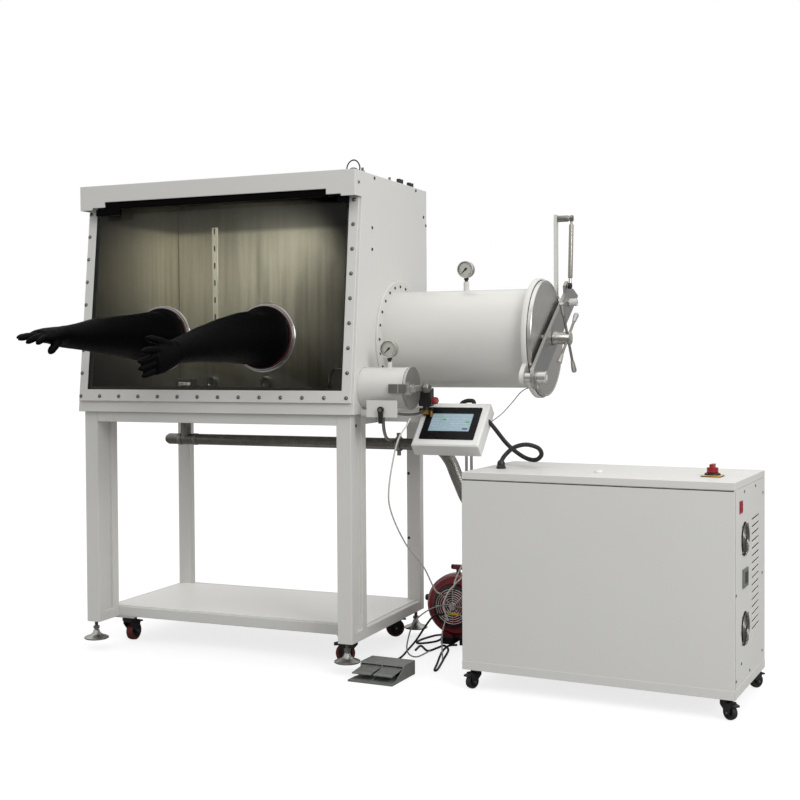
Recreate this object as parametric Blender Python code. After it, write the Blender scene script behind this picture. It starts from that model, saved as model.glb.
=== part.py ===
"""Single-station laboratory glove box on its stand, with a large and a small
transfer chamber, a control cabinet, a vacuum pump and a foot pedal.

All sizes are millimetres until a shape becomes an object. The drawing frame
has x along the window, y to the rear and z up from the floor; x = 0 is the
left side of the box and y = 0 is the lower front edge of its sloping window.
"""
from math import atan2, cos, hypot, pi, radians, sin

import bmesh
import bpy
from mathutils import Matrix, Vector

MM = 0.001
GAP = 0.3
WELD = 0.002

# Box
BOX_WIDE = 1220.0
BOX_LOW = 963.0
BOX_TOP = 1869.0
BOX_REAR = 746.0
SLOPE_SETBACK = 101.0
HOOD_FRONT = 28.0
HOOD_LOW = 1772.0
HOOD_MIDDLE_LOW = 1801.0
HOOD_TAB = 118.0
WALL = 6.0
SHEET = 3.0

AXLE_RADIUS = 3.9

# Window, measured up the slope from its lower edge
PANE_THICK = 8.0
FRAME_THICK = 12.0
FRAME_SIDE = 8.0
FRAME_BAR = 38.0
FRAME_LOW = 43.0
FRAME_HIGH = 878.0
PORT_X = (384.0, 842.0)
PORT_UP = 289.0
PORT_BORE = 104.0
PORT_OUTER = 132.0
PORT_FACE = 34.0
PORT_STEPS = 28

# Stand
STAND_INSET = 18.0
POST_WIDE = 60.0
POST_DEEP = 40.0
STAND_FRONT = 17.0
STAND_REAR = 740.0
FRONT_LEG_DEEP = 135.0
LEG_LOW = 111.0
RAIL = 40.0

# Large transfer chamber, axis along x
LARGE_Y = 435.0
LARGE_Z = 1243.5
LARGE_OUTER = 188.0
LARGE_BORE = 182.0
LARGE_IN = 1172.0
LARGE_END = 1815.0
LARGE_STEPS = 36
DOOR_RADIUS = 219.0
DOOR_FACE = 1817.0
BEAM_FACE = 1843.0
BEAM_THICK = 12.0
BEAM_HALF = 52.0
PIN_REACH = 267.0
BEAM_ANGLE = radians(32.5)
SCREW_RADIUS = 10.0
PIVOT_RADIUS = 11.0
SPRING_X = 1866.0
SPRING_TOP = (665.0, 1718.0)
SPRING_FOOT = (640.0, 1451.0)
STUD_RADIUS = 7.0

# Small transfer chamber, axis along x
SMALL_Y = 111.0
SMALL_Z = 1061.0
SMALL_OUTER = 76.0
SMALL_BORE = 72.0
SMALL_IN = 1110.0
SMALL_END = 1400.0
SMALL_DOOR = 79.0
SMALL_STEPS = 28
SMALL_HINGE = (1432.0, 14.0)

# Gauges
GAUGE_RADIUS = 33.0
GAUGE_DEEP = 30.0

# Control cabinet, drawn from its own front left corner on the floor
CABINET_AT = (1645.0, -13.0, 0.0)
CABINET_YAW = -0.0765
CABINET_WIDE = 955.0
CABINET_DEEP = 487.0
CABINET_LOW = 70.0
CABINET_BODY_TOP = 744.0
CABINET_TOP = 770.0
FAN_RADIUS = 55.0
FAN_Y = 155.0
FAN_Z = (273.0, 570.0)

PALETTE = {
    "powder_coat": ((0.80, 0.80, 0.77), 0.45, 0.0),
    "stainless": ((0.62, 0.61, 0.58), 0.30, 1.0),
    "polished": ((0.75, 0.75, 0.74), 0.15, 1.0),
    "glazing": ((0.16, 0.17, 0.16), 0.05, 0.0),
    "rubber": ((0.015, 0.015, 0.016), 0.55, 0.0),
    "dark_plastic": ((0.03, 0.03, 0.03), 0.40, 0.0),
    "red_tyre": ((0.16, 0.02, 0.02), 0.50, 0.0),
    "red_paint": ((0.30, 0.01, 0.02), 0.35, 0.0),
    "red_plastic": ((0.55, 0.02, 0.02), 0.30, 0.0),
    "hose_metal": ((0.45, 0.44, 0.42), 0.35, 1.0),
    "cast_grey": ((0.20, 0.21, 0.20), 0.55, 0.3),
}


# ---------------------------------------------------------------- shapes
def block(x, y, z):
    """A box from three (low, high) spans."""
    points = [(a, b, c) for a in x for b in y for c in z]
    faces = [(0, 1, 3, 2), (4, 6, 7, 5), (0, 4, 5, 1), (2, 3, 7, 6), (0, 2, 6, 4), (1, 5, 7, 3)]
    return points, faces


def prism(outline, low, high, axis="x"):
    """An outline in the two other axes, pushed along one axis."""
    def at(u, v, w):
        return {"x": (w, u, v), "y": (u, w, v), "z": (u, v, w)}[axis]

    count = len(outline)
    points = [at(u, v, low) for u, v in outline] + [at(u, v, high) for u, v in outline]
    faces = [tuple(range(count)), tuple(range(count, 2 * count))]
    faces += [(i, (i + 1) % count, count + (i + 1) % count, count + i) for i in range(count)]
    return points, faces


def turned(profile, centre, axis="z", steps=32):
    """A closed (radius, height) outline turned round an axis through centre."""
    def at(radius, height, turn):
        u, v = radius * cos(turn), radius * sin(turn)
        offset = {"x": (height, u, v), "y": (v, height, u), "z": (u, v, height)}[axis]
        return tuple(c + o for c, o in zip(centre, offset))

    points, index = [], []
    for radius, height in profile:
        index.append([])
        for step in range(steps):
            if radius > 0 or step == 0:
                points.append(at(radius, height, 2 * pi * step / steps))
            index[-1].append(len(points) - 1)
    faces = []
    for i, ring in enumerate(index):
        after = index[(i + 1) % len(index)]
        for step in range(steps):
            turn = (step + 1) % steps
            corners = dict.fromkeys((ring[step], ring[turn], after[turn], after[step]))
            if len(corners) > 2:
                faces.append(tuple(corners))
    return points, faces


def rod(radius, low, high, centre, axis="z", steps=24):
    """A plain cylinder."""
    return turned([(0, low), (radius, low), (radius, high), (0, high)], centre, axis, steps)


def ring(inner, outer, low, high, centre, axis="z", steps=32):
    """A plain tube."""
    return turned([(inner, low), (outer, low), (outer, high), (inner, high)], centre, axis, steps)


def lofted(rings):
    """Rings of equally many points joined in turn, with both ends closed."""
    count = len(rings[0])
    points = [point for one in rings for point in one]
    faces = [tuple(range(count)), tuple(range(len(points) - count, len(points)))]
    for i in range(len(rings) - 1):
        low = i * count
        for j in range(count):
            after = (j + 1) % count
            faces.append((low + j, low + after, low + count + after, low + count + j))
    return points, faces


def swept(path, radius, steps=12):
    """A round bar of one radius along a path of points."""
    path = [Vector(point) for point in path]
    rings = []
    side = None
    for i, point in enumerate(path):
        along = (path[min(i + 1, len(path) - 1)] - path[max(i - 1, 0)]).normalized()
        side = along.orthogonal() if side is None else side - along * side.dot(along)
        side.normalize()
        across = along.cross(side)
        turns = [2 * pi * step / steps for step in range(steps)]
        rings.append([tuple(point + radius * (cos(t) * side + sin(t) * across)) for t in turns])
    return lofted(rings)


def curve_through(points, pieces=6):
    """Evenly spaced points on a smooth curve through the given ones."""
    points = [Vector(p) for p in points]
    padded = [2 * points[0] - points[1], *points, 2 * points[-1] - points[-2]]
    found = []
    for a, b, c, d in zip(padded, padded[1:], padded[2:], padded[3:]):
        for step in range(pieces):
            t = step / pieces
            cubic = (2 * b + (c - a) * t + (2 * a - 5 * b + 4 * c - d) * t ** 2
                     + (3 * b - a - 3 * c + d) * t ** 3) / 2
            found.append(tuple(cubic))
    return found + [tuple(points[-1])]


def moved(shape, matrix):
    points, faces = shape
    return [tuple(matrix @ Vector(point)) for point in points], faces


def arc(radius, start, end, steps, centre=(0.0, 0.0)):
    """Points of an arc in a plane, ends included, angles in radians."""
    turns = [start + (end - start) * step / steps for step in range(steps + 1)]
    return [(centre[0] + radius * cos(t), centre[1] + radius * sin(t)) for t in turns]


def mesh_from(shape, name="shape"):
    """A mesh of triangles that face outwards."""
    mesh = bpy.data.meshes.new(name)
    mesh.from_pydata([tuple(point) for point in shape[0]], [], shape[1])
    work = bmesh.new()
    work.from_mesh(mesh)
    bmesh.ops.recalc_face_normals(work, faces=work.faces)
    bmesh.ops.triangulate(work, faces=work.faces)
    work.to_mesh(mesh)
    work.free()
    return mesh


def combined(base, others, operation):
    """The first shape with the others joined to it or cut from it."""
    work = []
    for shape in [base, *others]:
        solid = bpy.data.objects.new("work", mesh_from(shape))
        bpy.context.scene.collection.objects.link(solid)
        work.append(solid)
    for solid in work[1:]:
        modifier = work[0].modifiers.new("combine", "BOOLEAN")
        modifier.operation = operation
        modifier.solver = "EXACT"
        modifier.object = solid
    graph = bpy.context.evaluated_depsgraph_get()
    result = bmesh.new()
    result.from_mesh(work[0].evaluated_get(graph).to_mesh())
    for solid in work:
        bpy.data.objects.remove(solid)
    bmesh.ops.remove_doubles(result, verts=result.verts, dist=WELD)
    bmesh.ops.dissolve_degenerate(result, dist=WELD, edges=result.edges)
    slits = [edge for edge in result.edges if edge.is_boundary]
    bmesh.ops.holes_fill(result, edges=slits, sides=4)
    points = [tuple(vertex.co) for vertex in result.verts]
    faces = [tuple(vertex.index for vertex in face.verts) for face in result.faces]
    result.free()
    return points, faces


def union(*shapes):
    return combined(shapes[0], shapes[1:], "UNION")


def cut(base, *cutters):
    return combined(base, cutters, "DIFFERENCE")


# ---------------------------------------------------------------- objects
def principled(name, kind):
    colour, roughness, metallic = PALETTE[kind]
    material = bpy.data.materials.new(f"{name}_{kind}")
    material.use_nodes = True
    shader = material.node_tree.nodes["Principled BSDF"]
    shader.inputs["Base Color"].default_value = (*colour, 1.0)
    shader.inputs["Roughness"].default_value = roughness
    shader.inputs["Metallic"].default_value = metallic
    return material


def piece(name, kind, shape, pivot=(0.0, 0.0, 0.0), parent=None, smooth=False):
    """One sub-part: its shape, its material, and its origin at its pivot.

    Shapes and pivots are in the drawing frame, or in the parent empty's own.
    """
    pivot = Vector(pivot)
    mesh = mesh_from(moved(shape, Matrix.Translation(-pivot)), name)
    mesh.transform(Matrix.Diagonal((MM, MM, MM, 1)))
    mesh.materials.append(principled(name, kind))
    if smooth:
        mesh.shade_smooth()
    solid = bpy.data.objects.new(name, mesh)
    bpy.context.scene.collection.objects.link(solid)
    solid.location = pivot * MM
    solid.parent = parent
    return solid


def turned_frame(name, at, yaw, parent=None):
    """An empty that carries pieces standing at an angle."""
    frame = bpy.data.objects.new(name, None)
    bpy.context.scene.collection.objects.link(frame)
    frame.location = Vector(at) * MM
    frame.rotation_euler = (0.0, 0.0, yaw)
    frame.parent = parent
    return frame


# ---------------------------------------------------------------- stand
def front_leg(left):
    """Two posts with a recessed web between them."""
    rear = STAND_FRONT + FRONT_LEG_DEEP
    x = (left, left + POST_WIDE)
    web = (left + 12, left + POST_WIDE - 12)
    return [
        block(x, (STAND_FRONT, STAND_FRONT + POST_DEEP), (LEG_LOW, BOX_LOW)),
        block(x, (rear - POST_DEEP, rear), (LEG_LOW, BOX_LOW)),
        block(web, (STAND_FRONT + 20, rear - 20), (LEG_LOW, BOX_LOW)),
    ]


def foot_places():
    centre = POST_WIDE / 2
    left, right = STAND_INSET + centre, BOX_WIDE - STAND_INSET - centre
    front, rear = STAND_FRONT + POST_DEEP / 2, STAND_REAR - POST_DEEP / 2
    return {"front_left": (left, front, 40.0), "front_right": (right, front, 40.0),
            "rear_left": (left, rear, 30.0), "rear_right": (right, rear, 30.0)}


def stand_caster_places():
    """The rear pair stands further in, so that its wheels swivel clear of the rear feet."""
    front, rear = (99.0, 195.0), (142.0, 648.0)
    return {"front_left": (*front, 0.0),
            "front_right": (BOX_WIDE - front[0], front[1], radians(118)),
            "rear_left": (*rear, radians(200)),
            "rear_right": (BOX_WIDE - rear[0], rear[1], radians(-52))}


def make_stand():
    left, right = STAND_INSET, BOX_WIDE - STAND_INSET
    front, rear = STAND_FRONT, STAND_REAR
    shelf_front = STAND_FRONT + FRONT_LEG_DEEP
    top, low = (BOX_LOW - RAIL, BOX_LOW), (LEG_LOW, LEG_LOW + RAIL)
    solids = front_leg(left) + front_leg(right - POST_WIDE)
    for x in ((left, left + POST_WIDE), (right - POST_WIDE, right)):
        solids.append(block(x, (rear - POST_DEEP, rear), (LEG_LOW, BOX_LOW)))
    for x in ((left, left + RAIL), (right - RAIL, right)):
        solids.append(block(x, (front, rear), top))
        solids.append(block(x, (front, rear), low))
    for y, z in (((front, front + RAIL), top), ((rear - RAIL, rear), top),
                 ((shelf_front, shelf_front + RAIL), low), ((rear - RAIL, rear), low)):
        solids.append(block((left, right), y, z))
    for x, y, _ in stand_caster_places().values():
        plate = (left + 33, x + 48) if x < BOX_WIDE / 2 else (x - 48, right - 33)
        solids.append(block(plate, (y - 40, y + 40), (LEG_LOW - 8, LEG_LOW)))
    bores = [rod(6.6, 60, LEG_LOW + 75, (x, y, 0), steps=16) for x, y, _ in foot_places().values()]
    piece("stand_frame", "powder_coat", cut(union(*solids), *bores))


def make_shelf():
    x = (STAND_INSET + 22, BOX_WIDE - STAND_INSET - 22)
    y = (STAND_FRONT + FRONT_LEG_DEEP + 18, STAND_REAR - POST_DEEP - 1)
    low = LEG_LOW + RAIL + GAP
    piece("lower_shelf", "powder_coat", block(x, y, (low, low + 3)))


def make_feet():
    for place, (x, y, low) in foot_places().items():
        stem_top = LEG_LOW + 70 - low
        profile = [(0, 0), (49, 0), (49, 7), (14, 30), (6, 34), (6, stem_top), (0, stem_top)]
        shape = turned(profile, (x, y, low), steps=20)
        piece(f"foot_{place}", "polished", shape, pivot=(x, y, low))


def make_caster(name, at, yaw, wheel_radius, wheel_wide, plate_low, tyre, parent=None):
    """A swivel fork with its axle and brake lever, and the wheel it carries."""
    frame = turned_frame(f"{name}_frame", at, yaw, parent)
    trail = wheel_radius * 0.75
    half = wheel_wide / 2 + 2
    axle = (0.0, trail, wheel_radius)
    crown_low = 2 * wheel_radius + 3
    head = rod(wheel_radius * 0.78, crown_low + 2, plate_low - GAP, (0, 0, 0), steps=12)
    crown = block((-half - 3, half + 3), (-0.5 * wheel_radius, trail + 0.6 * wheel_radius),
                  (crown_low, crown_low + 4))
    solids = [head, crown]
    for side in (-1, 1):
        cheek = [(-0.5 * wheel_radius, crown_low + 4), (trail + 0.6 * wheel_radius, crown_low + 4),
                 *arc(0.34 * wheel_radius, 0.0, -pi, 4, axle[1:])]
        x = sorted((side * half, side * (half + 3)))
        solids.append(prism(cheek, *x))
    solids.append(rod(AXLE_RADIUS, -half - 5, half + 5, axle, "x", 8))
    lever_y = trail + 0.6 * wheel_radius
    solids.append(block((-half - 3, half + 3), (lever_y - 2, lever_y + 0.62 * wheel_radius),
                        (crown_low - 1, crown_low + 4)))
    piece(f"{name}_fork", "dark_plastic", union(*solids), parent=frame)
    rim = wheel_radius * 0.72
    bore, hub, side = AXLE_RADIUS + 0.2, half - 1, wheel_wide / 2
    profile = [(bore, -hub), (rim, -side), (wheel_radius - 2, -side), (wheel_radius, 0),
               (wheel_radius - 2, side), (rim, side), (bore, hub)]
    piece(f"{name}_wheel", tyre, turned(profile, axle, "x", 18), pivot=axle, parent=frame)


def make_stand_casters():
    for place, (x, y, yaw) in stand_caster_places().items():
        make_caster(f"stand_caster_{place}", (x, y, 0.0), yaw, 37.5, 28.0, LEG_LOW - 8, "red_tyre")


# ---------------------------------------------------------------- box
def slope_y(z):
    return SLOPE_SETBACK * (z - BOX_LOW) / (BOX_TOP - BOX_LOW)


def slope_frame():
    """Turns (across, up the slope, outwards) into the drawing frame."""
    length = hypot(SLOPE_SETBACK, BOX_TOP - BOX_LOW)
    up = (0.0, SLOPE_SETBACK / length, (BOX_TOP - BOX_LOW) / length)
    out = (0.0, -up[2], up[1])
    return Matrix(((1, up[0], out[0], 0), (0, up[1], out[1], 0), (0, up[2], out[2], BOX_LOW),
                   (0, 0, 0, 1)))


def make_box_shell():
    """Welded shell: open window, two chamber holes, and the lamp hood in front."""
    low = BOX_LOW + GAP
    outer = [(slope_y(low), low), (BOX_REAR, low), (BOX_REAR, BOX_TOP), (HOOD_FRONT, BOX_TOP),
             (HOOD_FRONT, HOOD_LOW), (slope_y(HOOD_LOW), HOOD_LOW)]
    inside_low, inside_high = BOX_LOW + WALL + 8, BOX_TOP - WALL
    inside = [(slope_y(inside_low) + WALL, inside_low), (BOX_REAR - WALL, inside_low),
              (BOX_REAR - WALL, inside_high), (slope_y(inside_high) + WALL, inside_high)]
    recess_high = BOX_TOP - SHEET
    recess = [(HOOD_FRONT + SHEET, HOOD_LOW - 20), (slope_y(HOOD_LOW - 20), HOOD_LOW - 20),
              (slope_y(recess_high), recess_high), (HOOD_FRONT + SHEET, recess_high)]
    notch = block((HOOD_TAB, BOX_WIDE - HOOD_TAB), (HOOD_FRONT - 10, HOOD_FRONT + SHEET + 5),
                  (HOOD_LOW - 20, HOOD_MIDDLE_LOW))
    window = block((FRAME_SIDE + FRAME_BAR + 12, BOX_WIDE - FRAME_SIDE - FRAME_BAR - 12),
                   (-60, 200), (1064, 1780))
    large_hole = rod(LARGE_OUTER + 0.8, 1190, 1260, (0, LARGE_Y, LARGE_Z), "x", LARGE_STEPS)
    small_hole = rod(SMALL_OUTER + 0.8, 1190, 1260, (0, SMALL_Y, SMALL_Z), "x", SMALL_STEPS)
    shape = cut(prism(outer, 0, BOX_WIDE), prism(inside, WALL, BOX_WIDE - WALL),
                prism(recess, SHEET, BOX_WIDE - SHEET), notch, window, large_hole, small_hole)
    piece("box_shell", "powder_coat", shape)


def make_window():
    """Clamping frame, and the pane in its rebate."""
    across = (FRAME_SIDE, BOX_WIDE - FRAME_SIDE)
    rebate_side, rebate_up = FRAME_BAR - 16, 18
    plate = block(across, (FRAME_LOW, FRAME_HIGH), (GAP, FRAME_THICK))
    opening = block((across[0] + FRAME_BAR, across[1] - FRAME_BAR),
                    (FRAME_LOW + 46, FRAME_HIGH - 46), (-5, FRAME_THICK + 5))
    pane_across = (across[0] + rebate_side, across[1] - rebate_side)
    pane_up = (FRAME_LOW + 46 - rebate_up, FRAME_HIGH - 46 + rebate_up)
    rebate = block(pane_across, pane_up, (-5, PANE_THICK + 2 * GAP))
    frame = moved(cut(plate, opening, rebate), slope_frame())
    piece("window_frame", "powder_coat", frame)
    pane = block([pane_across[0] + GAP, pane_across[1] - GAP],
                 [pane_up[0] + GAP, pane_up[1] - GAP], (GAP, PANE_THICK))
    holes = [rod(PORT_BORE + 6, -5, PANE_THICK + 5, (x, PORT_UP, 0), steps=PORT_STEPS)
             for x in PORT_X]
    piece("window_pane", "glazing", moved(cut(pane, *holes), slope_frame()))


def make_ports():
    for side, x in zip(("left", "right"), PORT_X):
        face = PANE_THICK + GAP
        profile = [(PORT_BORE, -14), (PORT_BORE + 5.4, -14), (PORT_BORE + 5.4, face),
                   (PORT_OUTER, face), (PORT_OUTER, PORT_FACE - 5), (PORT_OUTER - 6, PORT_FACE),
                   (PORT_BORE, PORT_FACE)]
        shape = turned(profile, (x, PORT_UP, 0.0), steps=PORT_STEPS)
        piece(f"port_ring_{side}", "polished", moved(shape, slope_frame()))


def glove_ring(centre, wide, high, steps=16):
    turns = [2 * pi * step / steps for step in range(steps)]
    return [(centre[0] + wide * cos(t), centre[1], centre[2] + high * sin(t)) for t in turns]


def make_gloves():
    """Long sleeves pushed out by the pressure inside: hollow, open at the cuff.

    Each station is distance out, radius across, radius up, then drop and drift.
    """
    sleeve = ((22, 94.5, 94.5), (110, 93, 93), (220, 84, 82), (320, 72, 70), (420, 60, 57),
              (520, 47, 44), (580, 44, 38), (640, 50, 32), (700, 48, 26), (735, 36, 16))
    for side, x, drop, drift in (("left", PORT_X[0], 6.0, 80.0), ("right", PORT_X[1], 95.0, 66.0)):
        port = slope_frame() @ Vector((x, PORT_UP, 0.0))

        def stations(inset):
            rings = []
            for out, wide, high in sleeve:
                reach = out / sleeve[-1][0]
                bend = reach ** 2.6
                out = out if inset == 0 or out == sleeve[0][0] else out - inset
                centre = (port.x - drift * reach ** 1.3, port.y - out, port.z + 2 - drop * bend)
                rings.append(glove_ring(centre, wide - inset, high - inset))
            return rings

        outside, inside = stations(0.0), stations(2.5)
        count = len(outside[0])
        points, faces = lofted(outside)
        inner_points, inner_faces = lofted(inside)
        start = len(points)
        points = points + inner_points
        faces = faces[1:] + [tuple(start + i for i in face) for face in inner_faces[1:]]
        for i in range(count):
            after = (i + 1) % count
            faces.append((i, after, start + after, start + i))
        pivot = slope_frame() @ Vector((x, PORT_UP, PORT_FACE - 8))
        piece(f"glove_{side}", "rubber", (points, faces), pivot=pivot, smooth=True)


# ---------------------------------------------------------------- large chamber
def pin_place(side):
    """Centre of the latch pin (-1) or the pivot pin (+1), as (y, z)."""
    return (LARGE_Y + side * PIN_REACH * cos(BEAM_ANGLE),
            LARGE_Z + side * PIN_REACH * sin(BEAM_ANGLE))


def radial_lug(side):
    """Ear on the end flange that carries a pin, drawn outwards from the tube."""
    turn = BEAM_ANGLE if side > 0 else BEAM_ANGLE + pi
    outline = [(205, -34), (PIN_REACH, -28), *arc(28, -pi / 2, pi / 2, 8, (PIN_REACH, 0)),
               (205, 34)]
    placed = [(LARGE_Y + u * cos(turn) - v * sin(turn), LARGE_Z + u * sin(turn) + v * cos(turn))
              for u, v in outline]
    return prism(placed, 1796, 1812)


def beam_pin(at, standoff, neck, boss, end):
    """Stepped pin on a lug: standoff behind the beam, neck through it, boss outside."""
    front, back = BEAM_FACE - 0.5, BEAM_FACE + BEAM_THICK + 0.5
    profile = [(0, 1806), (standoff, 1806), (standoff, front), (neck, front), (neck, back),
               (boss, back), (boss, end), (0, end)]
    return turned(profile, (0, *at), "x", 16)


def hinge_bracket(x, y, z, reach, half, thick):
    """Channel whose two ears hold a vertical hinge pin: x and y are spans, reach is the ears' x."""
    outline = [(reach, z + half - thick), (reach, z + half), (x[1], z + half), (x[1], z - half),
               (reach, z - half), (reach, z - half + thick), (x[0], z - half + thick),
               (x[0], z + half - thick)]
    return prism(outline, *y, "y")


def gauge_stub(x, y, low, high, radius):
    return rod(radius, low, high, (x, y, 0), steps=12)


def make_large_chamber():
    """Tube, flanges, lugs, pins and strut post welded together."""
    wall_flange, end_flange = 231, 226
    tube = [(0, LARGE_IN), (LARGE_OUTER, LARGE_IN), (LARGE_OUTER, BOX_WIDE + GAP),
            (wall_flange, BOX_WIDE + GAP), (wall_flange, BOX_WIDE + 8), (LARGE_OUTER, BOX_WIDE + 8),
            (LARGE_OUTER, 1795), (end_flange, 1795), (end_flange, LARGE_END), (0, LARGE_END)]
    latch, pivot = pin_place(-1), pin_place(1)
    hinge_y = LARGE_Y + LARGE_OUTER + 24
    stub = [(0, 1803), (11, 1803), (11, SPRING_X - 12), (STUD_RADIUS, SPRING_X - 12),
            (STUD_RADIUS, SPRING_X + 7), (0, SPRING_X + 7)]
    solids = [
        turned(tube, (0, LARGE_Y, LARGE_Z), "x", LARGE_STEPS),
        radial_lug(-1),
        radial_lug(1),
        beam_pin(latch, 17, PIVOT_RADIUS, 21, BEAM_FACE + 50),
        beam_pin(pivot, 17, PIVOT_RADIUS, 15, BEAM_FACE + 46),
        block((1798, 1810), (pivot[0] - 13, pivot[0] + 13), (pivot[1], SPRING_TOP[1] + 16)),
        turned(stub, (0, *SPRING_TOP), "x", 16),
        gauge_stub(1507, LARGE_Y, LARGE_Z + LARGE_BORE + 1, 1466, 11),
        hinge_bracket((1172.5, 1180), (hinge_y - 10, hinge_y + 8), LARGE_Z, 1152, 64, 12),
        block((1173, 1179), (hinge_y - 34, hinge_y), (LARGE_Z - 50, LARGE_Z + 50)),
        rod(5, LARGE_Z - 58, LARGE_Z + 58, (1161, hinge_y, 0), steps=12),
    ]
    bore = rod(LARGE_BORE, LARGE_IN - 5, LARGE_END + 5, (0, LARGE_Y, LARGE_Z), "x", LARGE_STEPS)
    piece("large_chamber", "powder_coat", cut(union(*solids), bore))


def make_large_door():
    """Round outer door with the boss that the screw turns in."""
    profile = [(0, 5), (SCREW_RADIUS + 0.6, 5), (SCREW_RADIUS + 0.6, 19), (24, 19), (24, 14),
               (DOOR_RADIUS - 5, 14), (DOOR_RADIUS, 9), (DOOR_RADIUS, 0), (0, 0)]
    shape = turned(profile, (DOOR_FACE, LARGE_Y, LARGE_Z), "x", LARGE_STEPS)
    piece("large_door", "stainless", shape, pivot=(DOOR_FACE, LARGE_Y, LARGE_Z))


def beam_point(along, across):
    """A point in the beam's own directions, from the latch pin, as (y, z)."""
    y, z = pin_place(-1)
    c, s = cos(BEAM_ANGLE), sin(BEAM_ANGLE)
    return y + along * c - across * s, z + along * s + across * c


def make_door_beam():
    """Flat bar from the latch pin, past the pivot, to the strut's stud."""
    span = 2 * PIN_REACH
    outline = arc(44, pi / 2, 3 * pi / 2, 12)
    outline += [(140, -BEAM_HALF - 3), (span + 60, -BEAM_HALF - 3), (span + 142, -BEAM_HALF),
                (span + 88, 12), (span + 50, 30), (span + 34, 78), (span - 4, 78),
                (span - 12, BEAM_HALF), (140, BEAM_HALF - 2)]
    placed = [beam_point(u, v) for u, v in outline]
    plate = prism(placed, BEAM_FACE, BEAM_FACE + BEAM_THICK)
    pivot_y, pivot_z = pin_place(1)
    stud = rod(STUD_RADIUS, BEAM_FACE + 3, SPRING_X - 6, (0, *SPRING_FOOT), "x", 16)
    slot_half = PIVOT_RADIUS + 0.6
    slot = arc(slot_half, 0, pi, 8) + [(-slot_half, -70), (slot_half, -70)]
    cutters = [
        prism([beam_point(u, v) for u, v in slot], BEAM_FACE - 5, BEAM_FACE + BEAM_THICK + 5),
        rod(PIVOT_RADIUS + 0.15, BEAM_FACE - 5, BEAM_FACE + BEAM_THICK + 5,
            (0, pivot_y, pivot_z), "x"),
        rod(SCREW_RADIUS + 0.15, BEAM_FACE - 5, BEAM_FACE + BEAM_THICK + 5,
            (0, LARGE_Y, LARGE_Z), "x"),
    ]
    piece("door_beam", "stainless", cut(union(plate, stud), *cutters),
          pivot=(BEAM_FACE, pivot_y, pivot_z))


def make_handwheel():
    """Hub and screw with four tapered spokes."""
    plane = 1912.0
    beam_out = BEAM_FACE + BEAM_THICK
    solids = [turned([(0, 1829), (SCREW_RADIUS, 1829), (SCREW_RADIUS, beam_out + 3),
                      (24, beam_out + 3), (24, 1921), (21, 1924), (0, 1924)],
                     (0, LARGE_Y, LARGE_Z), "x")]
    spoke = turned([(0, 8), (5, 8), (5, 105), (9, 140), (9, 152), (7, 156), (0, 156)],
                   (0, 0, 0), "z", 8)
    for quarter in range(4):
        turn = Matrix.Rotation(radians(36 + 90 * quarter), 4, "X")
        place = Matrix.Translation((plane, LARGE_Y, LARGE_Z))
        solids.append(moved(spoke, place @ turn))
    piece("door_handwheel", "polished", union(*solids), pivot=(plane, LARGE_Y, LARGE_Z))


def make_gas_spring():
    """Tube hung from the post's stud, and the rod that reaches the beam's stud."""
    top, foot = Vector((0, *SPRING_TOP)), Vector((0, *SPRING_FOOT))
    length = (foot - top).length
    down = (foot - top).normalized()
    frame = Matrix(((1, 0, 0, SPRING_X), (0, down.z, down.y, top.y), (0, -down.y, down.z, top.z),
                    (0, 0, 0, 1)))
    eye = ring(STUD_RADIUS + 0.15, 12, -5, 5, (0, 0, 0), "x", 24)
    tube = turned([(0, 9), (9, 14), (9, length - 55), (7, length - 50), (4.3, length - 50),
                   (4.3, 50), (0, 50)], (0, 0, 0), steps=20)
    tube_shape = cut(union(tube, eye), rod(STUD_RADIUS + 0.15, -20, 20, (0, 0, 0), "x", 24))
    piece("gas_spring_tube", "hose_metal", moved(tube_shape, frame),
          pivot=(SPRING_X, *SPRING_TOP))
    lower_eye = ring(STUD_RADIUS, 12, -5, 5, (0, 0, length), "x", 24)
    shaft = rod(4, 62, length - 8, (0, 0, 0), steps=12)
    piece("gas_spring_rod", "polished", moved(union(shaft, lower_eye), frame),
          pivot=(SPRING_X, *SPRING_FOOT))


def make_large_inner_door():
    """Door inside the box, hung on the pin at the rear of the chamber."""
    hinge_y = LARGE_Y + LARGE_OUTER + 24
    disc = turned([(0, -12), (192, -12), (196, -8), (196, 0), (0, 0)],
                  (LARGE_IN - 2, LARGE_Y, LARGE_Z), "x", LARGE_STEPS)
    barrel = rod(10, LARGE_Z - 50, LARGE_Z + 50, (1161, hinge_y, 0), steps=16)
    arm = block((1158, 1168), (LARGE_Y + 170, hinge_y), (LARGE_Z - 30, LARGE_Z + 30))
    knob = turned([(0, -46), (14, -46), (17, -40), (17, -30), (7, -24), (7, -6), (0, -6)],
                  (LARGE_IN - 2, LARGE_Y - 120, LARGE_Z), "x", 12)
    pin_bore = rod(5.2, LARGE_Z - 70, LARGE_Z + 70, (1161, hinge_y, 0), steps=16)
    shape = cut(union(disc, arm, barrel, knob), pin_bore)
    piece("large_inner_door", "stainless", shape, pivot=(1161, hinge_y, LARGE_Z))


def make_tray():
    """Sliding sheet that carries things through the large chamber."""
    x, half, low = (1254, 1734), 147.0, LARGE_Z - 99
    outline = [(-half, low), (half, low), (half, low + 22), (half - 3, low + 22),
               (half - 3, low + 3), (-half + 3, low + 3), (-half + 3, low + 22), (-half, low + 22)]
    shape = prism([(LARGE_Y + u, v) for u, v in outline], *x)
    piece("sliding_tray", "stainless", shape)


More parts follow.
